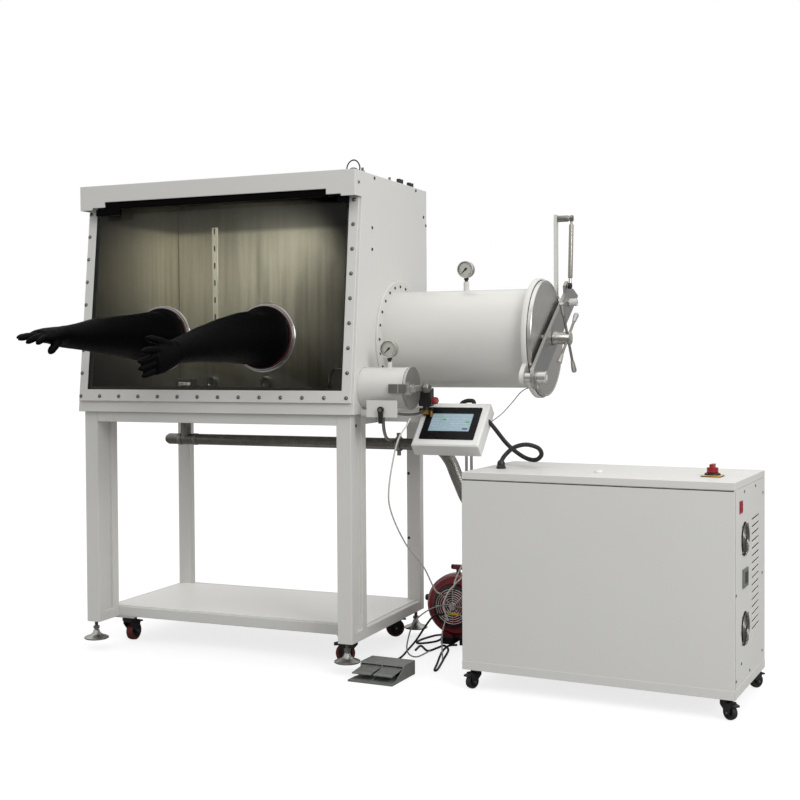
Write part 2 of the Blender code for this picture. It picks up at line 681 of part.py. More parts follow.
def make_gauge(name, x, y, stub_top):
    """Round dial gauge facing the front, and its pointer."""
    z = stub_top + GAP + 14 + GAUGE_RADIUS
    back = y + GAUGE_DEEP / 2
    face = y - GAUGE_DEEP / 2
    case = turned([(0, back), (GAUGE_RADIUS - 4, back), (GAUGE_RADIUS, back - 4),
                   (GAUGE_RADIUS, face), (GAUGE_RADIUS - 4, face), (GAUGE_RADIUS - 4, face + 6),
                   (0, face + 6)], (x, 0, z), "y", 32)
    stem = rod(6, stub_top + GAP, z - GAUGE_RADIUS + 4, (x, y, 0), steps=12)
    piece(name, "polished", union(case, stem), pivot=(x, y, z))
    turn = Matrix.Translation((x, face + 2, z)) @ Matrix.Rotation(radians(-134), 4, "Y")
    outline = [(-3.5, -8), (3.5, -8), (1.2, 21), (0, 24), (-1.2, 21)]
    pointer = prism(outline, 0, 1.5, "y")
    cap = rod(4, -1.5, 3.5, (0, 0, 0), "y", 12)
    piece(f"{name}_needle", "dark_plastic", moved(union(pointer, cap), turn),
          pivot=(x, face + 2, z))


# ---------------------------------------------------------------- small chamber
def make_small_chamber():
    axis = (0, SMALL_Y, SMALL_Z)
    tube = [(0, SMALL_IN), (SMALL_OUTER, SMALL_IN), (SMALL_OUTER, SMALL_END - 8),
            (SMALL_DOOR, SMALL_END - 8), (SMALL_DOOR, SMALL_END), (0, SMALL_END)]
    inner_y = SMALL_Y + 90
    ears = hinge_bracket((22, 30.5), (1424, 1438), SMALL_Z, 8, 22, 8)
    turn = Matrix(((0, 1, 0, 0), (1, 0, 0, 0), (0, 0, 1, 0), (0, 0, 0, 1)))
    solids = [
        turned(tube, axis, "x", SMALL_STEPS),
        gauge_stub(1319, SMALL_Y, SMALL_Z + SMALL_BORE + 1, 1158, 9),
        block((1351, 1430), (22.5, 30), (SMALL_Z - 16, SMALL_Z + 16)),
        block((1355, 1390), (24, 50), (SMALL_Z - 13, SMALL_Z + 13)),
        moved(ears, turn),
        rod(4.5, SMALL_Z - 18, SMALL_Z + 18, (*SMALL_HINGE, 0), steps=12),
        block((1113, 1122), (SMALL_Y + 70, SMALL_Y + 94), (SMALL_Z - 10, SMALL_Z + 10)),
        hinge_bracket((1114, 1124), (inner_y - 6, inner_y + 8), SMALL_Z, 1098, 22, 7),
        rod(3.5, SMALL_Z - 18, SMALL_Z + 18, (1105, inner_y, 0), steps=12),
    ]
    bore = rod(SMALL_BORE, SMALL_IN - 5, SMALL_END + 5, axis, "x", SMALL_STEPS)
    piece("small_chamber", "powder_coat", cut(union(*solids), bore))


def make_small_door():
    """Outer disc carried by a cross arm on the front hinge."""
    disc = turned([(0, 0), (SMALL_DOOR, 0), (SMALL_DOOR, 7), (SMALL_DOOR - 2, 9), (16, 9), (16, 20),
                   (0, 20)], (SMALL_END + 2, SMALL_Y, SMALL_Z), "x", SMALL_STEPS)
    arm = block((1441, 1453), (15, 196), (SMALL_Z - 9, SMALL_Z + 9))
    neck = rod(12, SMALL_END + 18, 1446, (0, SMALL_Y, SMALL_Z), "x", 16)
    barrel = rod(7.5, SMALL_Z - 13, SMALL_Z + 13, (*SMALL_HINGE, 0), steps=12)
    web = block((1434, 1447), (7, 19), (SMALL_Z - 8, SMALL_Z + 8))
    bores = [rod(4.75, SMALL_Z - 30, SMALL_Z + 30, (*SMALL_HINGE, 0), steps=12),
             rod(5.3, 1425, 1470, (0, SMALL_Y, SMALL_Z), "x", 12)]
    piece("small_door", "stainless", cut(union(disc, arm, neck, barrel, web), *bores),
          pivot=(*SMALL_HINGE, SMALL_Z))


def make_small_knob():
    profile = [(0, 1430), (5, 1430), (5, 1455), (15, 1455), (17, 1459), (17, 1473), (14, 1477),
               (0, 1477)]
    shape = turned(profile, (0, SMALL_Y, SMALL_Z), "x", 16)
    piece("small_door_knob", "polished", shape, pivot=(1455, SMALL_Y, SMALL_Z))


def make_small_inner_door():
    disc = turned([(0, -10), (SMALL_DOOR - 3, -10), (SMALL_DOOR, -7), (SMALL_DOOR, 0), (0, 0)],
                  (SMALL_IN - 2, SMALL_Y, SMALL_Z), "x", SMALL_STEPS)
    hinge = (1105, SMALL_Y + 90, 0)
    barrel = rod(7, SMALL_Z - 14, SMALL_Z + 14, hinge, steps=12)
    arm = block((1099, 1107), (SMALL_Y + 60, SMALL_Y + 88), (SMALL_Z - 11, SMALL_Z + 11))
    knob = turned([(0, -34), (9, -34), (11, -30), (11, -22), (5, -18), (5, -5), (0, -5)],
                  (SMALL_IN - 2, SMALL_Y - 40, SMALL_Z), "x", 12)
    bore = rod(3.75, SMALL_Z - 30, SMALL_Z + 30, hinge, steps=12)
    piece("small_inner_door", "stainless", cut(union(disc, barrel, arm, knob), bore),
          pivot=(1105, SMALL_Y + 90, SMALL_Z))


def make_valve():
    """Bracket plate under the small chamber, and the lever on it."""
    z = (956, 1018)
    bracket = union(block((1266, 1388), (16, 19), z), block((1266, 1269), (16, 70), (958, 980)),
                    block((BOX_WIDE + GAP, 1269), (66, 70), (958, 980)))
    hub = (1326, 0, 984)
    bracket = cut(bracket, rod(4.2, 0, 40, hub, "y", 16))
    piece("valve_bracket", "powder_coat", bracket)
    outline = [(-7, -50), (7, -50), (9, -10), *arc(12, 0, pi, 8), (-9, -10)]
    lever = prism([(hub[0] + u, hub[2] + v) for u, v in outline], 3, 12, "y")
    spindle = rod(4, 5, 30, hub, "y", 16)
    piece("valve_lever", "dark_plastic", union(lever, spindle), pivot=(hub[0], 8, hub[2]))


# ---------------------------------------------------------------- controls and pipes
def make_screen():
    """Tilted touch-screen housing on its arm from the stand."""
    tilt = Matrix.Translation((1527, 200, 927)) @ Matrix.Rotation(radians(45), 4, "X")
    wide, tall, deep, edge = 132.0, 107.0, 58.0, 5.0
    front = [(-wide + edge, -tall + edge, 0), (wide - edge, -tall + edge, 0),
             (wide - edge, tall - edge, 0), (-wide + edge, tall - edge, 0)]
    rim = [(-wide, -tall, -edge), (wide, -tall, -edge), (wide, tall, -edge), (-wide, tall, -edge)]
    back = [(x, y, -deep) for x, y, _ in rim]
    housing = moved(lofted([back, rim, front]), tilt)
    arm = block((BOX_WIDE - STAND_INSET + GAP, 1460), (250, 280), (928, 954))
    piece("screen_housing", "powder_coat", union(housing, arm))


def make_pipes():
    """Steel circulation pipe under the box, and the flexible hose to the cabinet."""
    y, z, radius = 600.0, 816.0, 24.0
    run = turned([(0, 24), (16, 26), (radius, 40), (radius, 1262), (0, 1262)], (0, y, z), "x", 24)
    riser = rod(23, z, BOX_LOW, (124, y, 0))
    collar = ring(20, 30, 1236, 1256, (0, y, z), "x", 24)
    piece("circulation_pipe", "stainless", union(run, riser, collar))
    entry_y = 336.0
    cabinet_x = Vector((cos(CABINET_YAW), sin(CABINET_YAW), 0))
    cabinet_y = Vector((-sin(CABINET_YAW), cos(CABINET_YAW), 0))
    entry = Vector(CABINET_AT) + entry_y * cabinet_y + Vector((0, 0, 566))
    start = Vector((1262.4, y, z))
    bends = [start + Vector((12, 0, 0)), (1330, 583, 803), (1400, 520, 738), (1455, 450, 655),
             (1540, 375, 590), entry - 20 * cabinet_x]
    path = [start, *curve_through(bends, 4), entry - 0.5 * cabinet_x]
    piece("return_hose", "hose_metal", swept(path, 25.0, 14), smooth=True)


# ---------------------------------------------------------------- cabinet
def make_cabinet(frame):
    wide, deep = CABINET_WIDE, CABINET_DEEP
    body = block((0, wide), (0, deep), (CABINET_LOW, CABINET_BODY_TOP))
    hollow = block((3, wide - 3), (3, deep - 3), (CABINET_LOW + 4, CABINET_BODY_TOP + 10))
    fan_holes = [rod(FAN_RADIUS + 2, wide - 20, wide + 20, (0, FAN_Y, z), "x", 32) for z in FAN_Z]
    rocker_hole = block((wide - 20, wide + 20), (74, 98), (667, 699))
    louvres = []
    for step in range(16):
        z = 252 + 24.8 * step
        outline = [(266, z - 6), (384, z), (384, z + 5), (266, z - 1)]
        louvres.append(prism(outline, wide - 20, wide + 20))
    shape = cut(body, hollow, *fan_holes, rocker_hole, *louvres)
    piece("cabinet_body", "powder_coat", shape, parent=frame)
    low = CABINET_BODY_TOP + GAP
    lid = cut(block((0, wide), (0, deep), (low, CABINET_TOP)),
              block((3, wide - 3), (3, deep - 3), (low - 5, CABINET_TOP - 3)),
              rod(5.2, CABINET_TOP - 20, CABINET_TOP + 20, (842, 181, 0), steps=16))
    piece("cabinet_lid", "powder_coat", lid, parent=frame)


def make_cabinet_controls(frame):
    knob = turned([(0, CABINET_TOP - 8), (5, CABINET_TOP - 8), (5, CABINET_TOP + 14),
                   (19, CABINET_TOP + 14), (19, CABINET_TOP + 30), (0, CABINET_TOP + 30)],
                  (842, 181, 0), steps=24)
    grip = block((836, 848), (160, 202), (CABINET_TOP + 24, CABINET_TOP + 42))
    piece("power_switch", "red_plastic", union(knob, grip), pivot=(842, 181, CABINET_TOP),
          parent=frame)
    rocker = prism([(74.6, 0), (97.4, 0), (97.4, 14), (74.6, 10)], 669.5, 696.5, "z")
    shape = [(CABINET_WIDE - 8 + v, u, w) for u, v, w in rocker[0]], rocker[1]
    piece("rocker_switch", "red_plastic", shape, pivot=(CABINET_WIDE - 5, 86, 683), parent=frame)
    for name, z in zip(("lower", "upper"), FAN_Z):
        centre = (CABINET_WIDE - 26, FAN_Y, z)
        solids = [rod(21, 0, 20, centre, "x", 20)]
        for blade in range(7):
            pitch = Matrix.Rotation(radians(32), 4, "Z")
            turn = Matrix.Rotation(2 * pi * blade / 7, 4, "X")
            flat = block((-13, 13), (-1.2, 1.2), (16, 51))
            place = Matrix.Translation((centre[0] + 10, centre[1], centre[2]))
            solids.append(moved(flat, place @ turn @ pitch))
        piece(f"fan_{name}", "dark_plastic", union(*solids), pivot=centre, parent=frame)


def make_cabinet_casters(frame):
    places = {"front_left": (37, 37, radians(155)), "front_right": (918, 37, radians(-120)),
              "rear_left": (37, 450, radians(20)), "rear_right": (918, 450, radians(-38))}
    for place, (x, y, yaw) in places.items():
        make_caster(f"cabinet_caster_{place}", (x, y, 0.0), yaw, 25.0, 20.0, CABINET_LOW,
                    "dark_plastic", frame)


# ---------------------------------------------------------------- floor pieces
def make_pump():
    """Vacuum pump: round motor bell with its cowl, pump block and feet."""
    x, z = 1395.0, 165.0
    solids = [
        turned([(0, 590), (112, 590), (124, 604), (126, 640), (118, 686), (0, 686)], (x, 0, z),
               "y", 32),
        rod(76, 566, 596, (x, 0, z), "y", 24),
        block((x - 70, x + 70), (678, 770), (48, 232)),
        block((x - 62, x - 18), (612, 760), (0, 64)),
        block((x + 18, x + 62), (612, 760), (0, 64)),
        rod(9, 276, 310, (x, 636, 0), steps=12),
        block((x - 22, x + 22), (628, 645), (305, 324)),
        rod(12, -142, -112, (x, 640, z + 16), "x", 12),
    ]
    piece("vacuum_pump", "red_paint", union(*solids))


def make_pedal():
    """Foot switch with two treads under a hood."""
    frame = turned_frame("pedal_frame", (1224, -70, 0), radians(-3))
    wide, deep = 178.0, 196.0
    base = union(
        block((0, wide), (0, deep), (0, 6)),
        prism([(98, 2), (deep, 2), (deep, 52), (104, 52), (98, 44)], 0, wide),
        prism([(20, 2), (104, 2), (104, 44)], wide - 5, wide),
        prism([(4, 2), (104, 2), (104, 44), (60, 26)], wide / 2 - 2, wide / 2 + 2),
    )
    pockets = [block((6, wide / 2 - 3), (90, 140), (10, 46)),
               block((wide / 2 + 3, wide - 6), (90, 140), (10, 46))]
    piece("pedal_base", "cast_grey", cut(base, *pockets), parent=frame)
    for side, x in (("left", (8, wide / 2 - 5)), ("right", (wide / 2 + 5, wide - 8))):
        tread = prism([(14, 26), (120, 37), (120, 42), (14, 31)], *x)
        piece(f"pedal_{side}", "cast_grey", tread, pivot=(sum(x) / 2, 118, 39), parent=frame)


# ---------------------------------------------------------------- whole object
def centre_on_floor():
    """Moves everything so that the footprint's middle is the origin."""
    bpy.context.view_layer.update()
    corners = [solid.matrix_world @ vertex.co for solid in bpy.context.scene.objects
               if solid.type == "MESH" for vertex in solid.data.vertices]
    low = Vector([min(corner[axis] for corner in corners) for axis in range(3)])
    high = Vector([max(corner[axis] for corner in corners) for axis in range(3)])
    shift = Vector((-(low.x + high.x) / 2, -(low.y + high.y) / 2, -low.z))
    for solid in bpy.context.scene.objects:
        if solid.parent is None:
            solid.location += shift


def build():
    for old in list(bpy.data.objects):
        bpy.data.objects.remove(old)
    make_stand()
    make_shelf()
    make_feet()
    make_stand_casters()
    make_box_shell()
    make_window()
    make_ports()
    make_gloves()
    make_large_chamber()
    make_large_door()
    make_door_beam()
    make_handwheel()
    make_gas_spring()
    make_large_inner_door()
    make_tray()
    make_gauge("large_gauge", 1507, LARGE_Y, 1466)
    make_small_chamber()
    make_small_door()
    make_small_knob()
    make_small_inner_door()
    make_gauge("small_gauge", 1319, SMALL_Y, 1158)
    make_valve()
    make_screen()
    make_pipes()
    cabinet = turned_frame("cabinet_frame", CABINET_AT, CABINET_YAW)
    make_cabinet(cabinet)
    make_cabinet_controls(cabinet)
    make_cabinet_casters(cabinet)
    make_pump()
    make_pedal()
    centre_on_floor()


build()
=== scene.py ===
"""Looks of the laboratory glove box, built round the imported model.

Shapes are drawn in millimetres in the drawing frame of the model: x along the
window from the box's left side, y to the rear from the window's lower edge and
z up from the floor. `show` turns them into metres and places them.
"""

from math import atan2, cos, hypot, pi, radians, sin
from random import Random

import bmesh
import bpy
from mathutils import Matrix, Vector
from mathutils.noise import noise


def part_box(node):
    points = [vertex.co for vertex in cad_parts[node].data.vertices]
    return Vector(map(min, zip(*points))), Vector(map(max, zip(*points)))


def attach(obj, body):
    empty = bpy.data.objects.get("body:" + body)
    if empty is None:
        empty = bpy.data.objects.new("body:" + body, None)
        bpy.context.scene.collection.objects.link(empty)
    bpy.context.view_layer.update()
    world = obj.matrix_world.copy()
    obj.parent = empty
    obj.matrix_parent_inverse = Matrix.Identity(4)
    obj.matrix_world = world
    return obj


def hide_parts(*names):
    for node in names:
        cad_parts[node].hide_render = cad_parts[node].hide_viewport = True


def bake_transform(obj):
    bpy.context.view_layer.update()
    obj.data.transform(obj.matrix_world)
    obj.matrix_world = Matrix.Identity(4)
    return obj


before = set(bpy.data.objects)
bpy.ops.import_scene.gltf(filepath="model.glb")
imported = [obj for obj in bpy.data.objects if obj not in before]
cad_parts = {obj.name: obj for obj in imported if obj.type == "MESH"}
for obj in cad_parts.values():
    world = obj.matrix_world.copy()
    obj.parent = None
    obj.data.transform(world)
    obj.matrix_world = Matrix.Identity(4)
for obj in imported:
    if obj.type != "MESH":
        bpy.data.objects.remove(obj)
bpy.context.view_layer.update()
MM = 0.001
BOX_WIDE, BOX_LOW, BOX_TOP, BOX_REAR = 1220.0, 963.0, 1869.0, 746.0
SLOPE_SETBACK = 101.0
PORT_X, PORT_UP = (384.0, 842.0), 289.0
LARGE_Y, LARGE_Z = 435.0, 1243.5
SMALL_Y, SMALL_Z = 111.0, 1061.0
BEAM_ANGLE, PIN_REACH = radians(32.5), 267.0
CABINET_AT, CABINET_YAW = (1645.0, -13.0, 0.0), -0.0765
CABINET_WIDE, CABINET_DEEP, CABINET_LOW = 955.0, 487.0, 70.0
CABINET_BODY_TOP, CABINET_TOP = 744.0, 770.0
FAN_Y, FAN_Z = 155.0, (273.0, 570.0)
ORIGIN = Vector((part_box("box_shell")[0].x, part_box("box_shell")[1].y - BOX_REAR * MM, 0.0))
TO_WORLD = Matrix.Translation(ORIGIN) @ Matrix.Diagonal((MM, MM, MM, 1))
CABINET = Matrix.Translation(CABINET_AT) @ Matrix.Rotation(CABINET_YAW, 4, "Z")
PEDAL = Matrix.Translation((1224, -70, 0)) @ Matrix.Rotation(radians(-3), 4, "Z")
SCREEN = Matrix.Translation((1527, 200, 927)) @ Matrix.Rotation(radians(45), 4, "X")
KEY_LIGHT, FILL_LIGHT, TOP_LIGHT, INSIDE_LIGHT = 112.0, 5.0, 10.0, 14.0
ROOM_LIGHT, FLOOR_BOUNCE, FLOOR_WHITE = 1.08, 0.0, 0.77
rng = Random(7)


def slope_frame():
    """Turns (across, up the slope, outwards) into the drawing frame."""
    length = hypot(SLOPE_SETBACK, BOX_TOP - BOX_LOW)
    up = (0.0, SLOPE_SETBACK / length, (BOX_TOP - BOX_LOW) / length)
    return Matrix(((1, 0, 0, 0), (0, up[1], -up[2], 0), (0, up[2], up[1], BOX_LOW), (0, 0, 0, 1)))


SLOPE = slope_frame()


# ---------------------------------------------------------------- shapes
def block(x, y, z):
    points = [(a, b, c) for a in x for b in y for c in z]
    faces = [(0, 1, 3, 2), (4, 6, 7, 5), (0, 4, 5, 1), (2, 3, 7, 6), (0, 2, 6, 4), (1, 5, 7, 3)]
    return points, faces


def prism(outline, low, high, axis="x"):
    def at(u, v, w):
        return {"x": (w, u, v), "y": (u, w, v), "z": (u, v, w)}[axis]

    count = len(outline)
    points = [at(u, v, low) for u, v in outline] + [at(u, v, high) for u, v in outline]
    faces = [tuple(range(count)), tuple(range(count, 2 * count))]
    faces += [(i, (i + 1) % count, count + (i + 1) % count, count + i) for i in range(count)]
    return points, faces


def turned(profile, centre=(0, 0, 0), axis="z", steps=48):
    """A closed (radius, height) outline turned round an axis through centre."""
    def at(radius, height, turn):
        u, v = radius * cos(turn), radius * sin(turn)
        offset = {"x": (height, u, v), "y": (v, height, u), "z": (u, v, height)}[axis]
        return tuple(c + o for c, o in zip(centre, offset))

    points, index = [], []
    for radius, height in profile:
        index.append([])
        for step in range(steps):
            if radius > 0 or step == 0:
                points.append(at(radius, height, 2 * pi * step / steps))
            index[-1].append(len(points) - 1)
    faces = []
    for i, ring in enumerate(index):
        after = index[(i + 1) % len(index)]
        for step in range(steps):
            turn = (step + 1) % steps
            corners = dict.fromkeys((ring[step], ring[turn], after[turn], after[step]))
            if len(corners) > 2:
                faces.append(tuple(corners))
    return points, faces


def rod(radius, low, high, centre=(0, 0, 0), axis="z", steps=24):
    return turned([(0, low), (radius, low), (radius, high), (0, high)], centre, axis, steps)


def tube(inner, outer, low, high, centre=(0, 0, 0), axis="z", steps=48):
    return turned([(inner, low), (outer, low), (outer, high), (inner, high)], centre, axis, steps)


def lofted(rings):
    count = len(rings[0])
    points = [point for one in rings for point in one]
    faces = [tuple(range(count)), tuple(range(len(points) - count, len(points)))]
    for i in range(len(rings) - 1):
        low = i * count
        for j in range(count):
            after = (j + 1) % count
            faces.append((low + j, low + after, low + count + after, low + count + j))
    return points, faces


def swept(path, radius, steps=12):
    """A round bar along a path; radius is one number or a function of the point's number."""
    path = [Vector(point) for point in path]
    size = radius if callable(radius) else lambda i: radius
    rings = []
    side = None
    for i, point in enumerate(path):
        along = (path[min(i + 1, len(path) - 1)] - path[max(i - 1, 0)]).normalized()
        side = along.orthogonal() if side is None else side - along * side.dot(along)
        side.normalize()
        across = along.cross(side)
        turns = [2 * pi * step / steps for step in range(steps)]
        rings.append([point + size(i) * (cos(t) * side + sin(t) * across) for t in turns])
    return lofted(rings)


def curve_through(points, pieces=6):
    points = [Vector(p) for p in points]
    padded = [2 * points[0] - points[1], *points, 2 * points[-1] - points[-2]]
    found = []
    for a, b, c, d in zip(padded, padded[1:], padded[2:], padded[3:]):
        for step in range(pieces):
            t = step / pieces
            found.append((2 * b + (c - a) * t + (2 * a - 5 * b + 4 * c - d) * t ** 2
                          + (3 * b - a - 3 * c + d) * t ** 3) / 2)
    return found + [points[-1]]


def cable(points, radius, pieces=6, steps=10):
    return swept(curve_through(points, pieces), radius, steps)


def arc(radius, start, end, steps, centre=(0.0, 0.0)):
    turns = [start + (end - start) * step / steps for step in range(steps + 1)]
    return [(centre[0] + radius * cos(t), centre[1] + radius * sin(t)) for t in turns]


def rounded(wide, high, radius, centre=(0.0, 0.0), steps=4):
    """Outline of a rectangle with round corners, from its half sizes."""
    outline = []
    for i, (u, v) in enumerate(((1, 1), (-1, 1), (-1, -1), (1, -1))):
        middle = (centre[0] + u * (wide - radius), centre[1] + v * (high - radius))
        outline += arc(radius, i * pi / 2, (i + 1) * pi / 2, steps, middle)
    return outline


def moved(shape, matrix):
    points, faces = shape
    return [tuple(matrix @ Vector(point)) for point in points], faces


def merged(*shapes):
    points, faces = [], []
    for more, sides in shapes:
        start = len(points)
        points += [tuple(point) for point in more]
        faces += [tuple(start + i for i in side) for side in sides]
    return points, faces


def copies(shape, places):
    return merged(*[moved(shape, place) for place in places])


def around(centre, axis, angles):
    """Places turned about an axis through centre, one for each angle in degrees."""
    return [Matrix.Translation(centre) @ Matrix.Rotation(radians(angle), 4, axis) for angle in angles]


def hoop(radius, wire, at, centre, axis, steps=40):
    """A ring of round wire."""
    return turned(arc(wire, 0, 2 * pi * 7 / 8, 7, (radius, at)), centre, axis, steps)


def facing(direction, at=(0, 0, 0)):
    """Places a shape drawn along +z so that it stands along a direction."""
    return Matrix.Translation(at) @ Vector(direction).to_track_quat("Z", "Y").to_matrix().to_4x4()


# ---------------------------------------------------------------- materials
def nodes_for(name):
    material = bpy.data.materials.new(name)
    material.use_nodes = True
    return material, material.node_tree, material.node_tree.nodes["Principled BSDF"]


def fill(tree, node, inputs):
    """Sets a node's inputs, each to a value or to another node's output."""
    for key, value in inputs.items():
        if isinstance(value, bpy.types.NodeSocket):
            tree.links.new(value, node.inputs[key])
        else:
            node.inputs[key].default_value = value


def add(tree, kind, inputs=None, **settings):
    """A shader node with its settings and inputs."""
    node = tree.nodes.new("ShaderNode" + kind)
    for key, value in settings.items():
        setattr(node, key, value)
    fill(tree, node, inputs or {})
    return node


def grey(tone):
    return (tone, tone, tone, 1)


def object_point(tree):
    return add(tree, "TexCoord").outputs["Object"]


def noise_node(tree, scale, stretch=(1, 1, 1), detail=3.0):
    mapping = add(tree, "Mapping", {"Scale": stretch, "Vector": object_point(tree)})
    inputs = {"Scale": scale, "Detail": detail, "Vector": mapping.outputs["Vector"]}
    return add(tree, "TexNoise", inputs).outputs["Fac"]


def spread(tree, value, low, high):
    """Stretches the middle of a noise over a range."""
    mapped = add(tree, "MapRange", {"Value": value, "From Min": 0.3, "From Max": 0.7,
                                    "To Min": low, "To Max": high})
    return mapped.outputs["Result"]


def blended(tree, factor, first, second):
    inputs = {"A": (*first, 1), "B": (*second, 1), "Factor": factor}
    return add(tree, "Mix", inputs, data_type="RGBA").outputs["Result"]


def bumped(tree, shader, height, strength, distance=0.001):
    bump = add(tree, "Bump", {"Strength": strength, "Distance": distance, "Height": height})
    fill(tree, shader, {"Normal": bump.outputs["Normal"]})


def calculated(tree, kind, operation, first, second=None):
    """One step of arithmetic, on numbers ("Math") or on vectors ("VectorMath")."""
    inputs = {0: first} if second is None else {0: first, 1: second}
    return add(tree, kind, inputs, operation=operation).outputs


def mixed_into(output, tree, factor, first, second):
    """Sends one shader, and the other where the factor is 1, to the output."""
    mix = add(tree, "MixShader", {"Fac": factor, 1: first.outputs[0], 2: second.outputs[0]})
    fill(tree, output, {"Surface": mix.outputs["Shader"]})


def surface(name, colour, roughness, metallic=0.0, grain=700.0, bump=0.1, mottle=0.06, patch=5.0,
            stretch=(1, 1, 1), coat=0.0, shine=0.5, uneven=0.2):
    """A finish with its grain, uneven tone and uneven sheen."""
    material, tree, shader = nodes_for(name)
    darker = tuple(c * (1 - mottle) for c in colour)
    lighter = tuple(min(1.0, c * (1 + mottle)) for c in colour)
    tone = blended(tree, noise_node(tree, patch, stretch), darker, lighter)
    dull, polished = roughness * (1 + uneven), roughness * (1 - uneven)
    sheen = spread(tree, noise_node(tree, patch * 8, stretch), polished, dull)
    fill(tree, shader, {"Base Color": tone, "Roughness": sheen, "Metallic": metallic,
                        "Coat Weight": coat, "Specular IOR Level": shine})
    bumped(tree, shader, noise_node(tree, grain, stretch, 2.0), bump, 0.0004)
    return material


def circular_brush(name, colour, roughness, centre):
    """Steel faced on a lathe: fine rings about an axis along x."""
    material, tree, shader = nodes_for(name)
    from_axis = calculated(tree, "VectorMath", "SUBTRACT", object_point(tree),
                           TO_WORLD @ Vector(centre))["Vector"]
    across = calculated(tree, "VectorMath", "MULTIPLY", from_axis, (0, 1, 1))["Vector"]
    reach = calculated(tree, "VectorMath", "LENGTH", across)["Value"]
    rings = add(tree, "TexNoise", {"Scale": 900.0, "W": reach}, noise_dimensions="1D").outputs["Fac"]
    tone = blended(tree, noise_node(tree, 4.0), tuple(c * 0.9 for c in colour), colour)
    sheen = spread(tree, rings, roughness * 0.75, roughness * 1.3)
    fill(tree, shader, {"Base Color": tone, "Roughness": sheen, "Metallic": 1.0})
    bumped(tree, shader, rings, 0.12, 0.0003)
    return material


def tinted_glass(name, tint, smudge):
    """Clear glazing that darkens what is behind it, with faint smears on its face."""
    material, tree, shader = nodes_for(name)
    tree.nodes.remove(shader)
    through = add(tree, "BsdfTransparent", {"Color": (*tint, 1)})
    smears = spread(tree, noise_node(tree, 6.0), 0.02, smudge)
    gloss = add(tree, "BsdfGlossy", {"Roughness": smears})
    edge = add(tree, "Fresnel", {"IOR": 1.3})
    mixed_into(tree.nodes["Material Output"], tree, edge.outputs["Fac"], through, gloss)
    return material


def graded(tree, value, low, high, stops):
    """A grey that changes along one direction, from (position, grey) stops."""
    part = add(tree, "MapRange", {"From Min": low, "From Max": high, "Value": value})
    ramp = add(tree, "ValToRGB", {"Fac": part.outputs["Result"]})
    for position, tone in stops[1:-1]:
        ramp.color_ramp.elements.new(position).color = grey(tone)
    ramp.color_ramp.elements[0].color = grey(stops[0][1])
    ramp.color_ramp.elements[-1].color = grey(stops[-1][1])
    return ramp.outputs["Color"]


def box_finish():
    """Powder coat outside; inside the work space the bare brushed steel shows, with painted shade that
    darkens it towards the floor, under the roof and towards the window.
    """
    material = surface("box_paint", PAINT_TONE, 0.42, grain=900, bump=0.12, mottle=0.02)
    tree = material.node_tree
    outside = tree.nodes["Principled BSDF"]
    streak = noise_node(tree, 14.0, (3.0, 3.0, 0.12), 4.0)
    place = add(tree, "SeparateXYZ", {"Vector": object_point(tree)}).outputs
    tone = blended(tree, streak, (0.24, 0.222, 0.165), (0.58, 0.55, 0.455))
    # painted shade: the inner steel is darkened near the floor and under the roof, where the hood shades
    # the rear wall
    painted_shade_heights = ((0, 0.24), (0.16, 0.48), (0.36, 1.0), (0.6, 1.0), (0.842, 0.80), (0.866, 0.30), (1, 0.2))
    painted_shade_by_height = graded(tree, place["Z"], BOX_LOW * MM, BOX_TOP * MM, painted_shade_heights)
    tone = calculated(tree, "VectorMath", "MULTIPLY", tone, painted_shade_by_height)["Vector"]
    near, far = [(TO_WORLD @ Vector((0, y, 0))).y for y in (60, BOX_REAR)]
    # painted shade: the inner steel is darker towards the window and lighter at the rear wall
    painted_shade_depths = ((0, 0.30), (0.45, 0.45), (0.8, 1.0), (1, 1.0))
    painted_shade_by_depth = graded(tree, place["Y"], near, far, painted_shade_depths)
    tone = calculated(tree, "VectorMath", "MULTIPLY", tone, painted_shade_by_depth)["Vector"]
    inside = add(tree, "BsdfPrincipled", {"Metallic": 0.55, "Base Color": tone,
                                          "Roughness": spread(tree, streak, 0.30, 0.50)})
    low = TO_WORLD @ Vector((5, 5, BOX_LOW + 5))
    high = TO_WORLD @ Vector((BOX_WIDE - 5, BOX_REAR - 3, BOX_TOP - 5))
    lean = SLOPE_SETBACK / (BOX_TOP - BOX_LOW)
    behind = add(tree, "Math", {0: place["Z"], 1: -lean, 2: place["Y"]}, operation="MULTIPLY_ADD")
    tests = [(place["X"], "GREATER_THAN", low.x), (place["X"], "LESS_THAN", high.x),
             (place["Y"], "LESS_THAN", high.y), (place["Z"], "GREATER_THAN", low.z),
             (place["Z"], "LESS_THAN", high.z),
             (behind.outputs["Value"], "GREATER_THAN", low.y - BOX_LOW * MM * lean - 0.003)]
    within = 1.0
    for value, operation, limit in tests:
        test = calculated(tree, "Math", operation, value, limit)["Value"]
        within = calculated(tree, "Math", "MULTIPLY", within, test)["Value"]
    mixed_into(tree.nodes["Material Output"], tree, within, outside, inside)
    return material


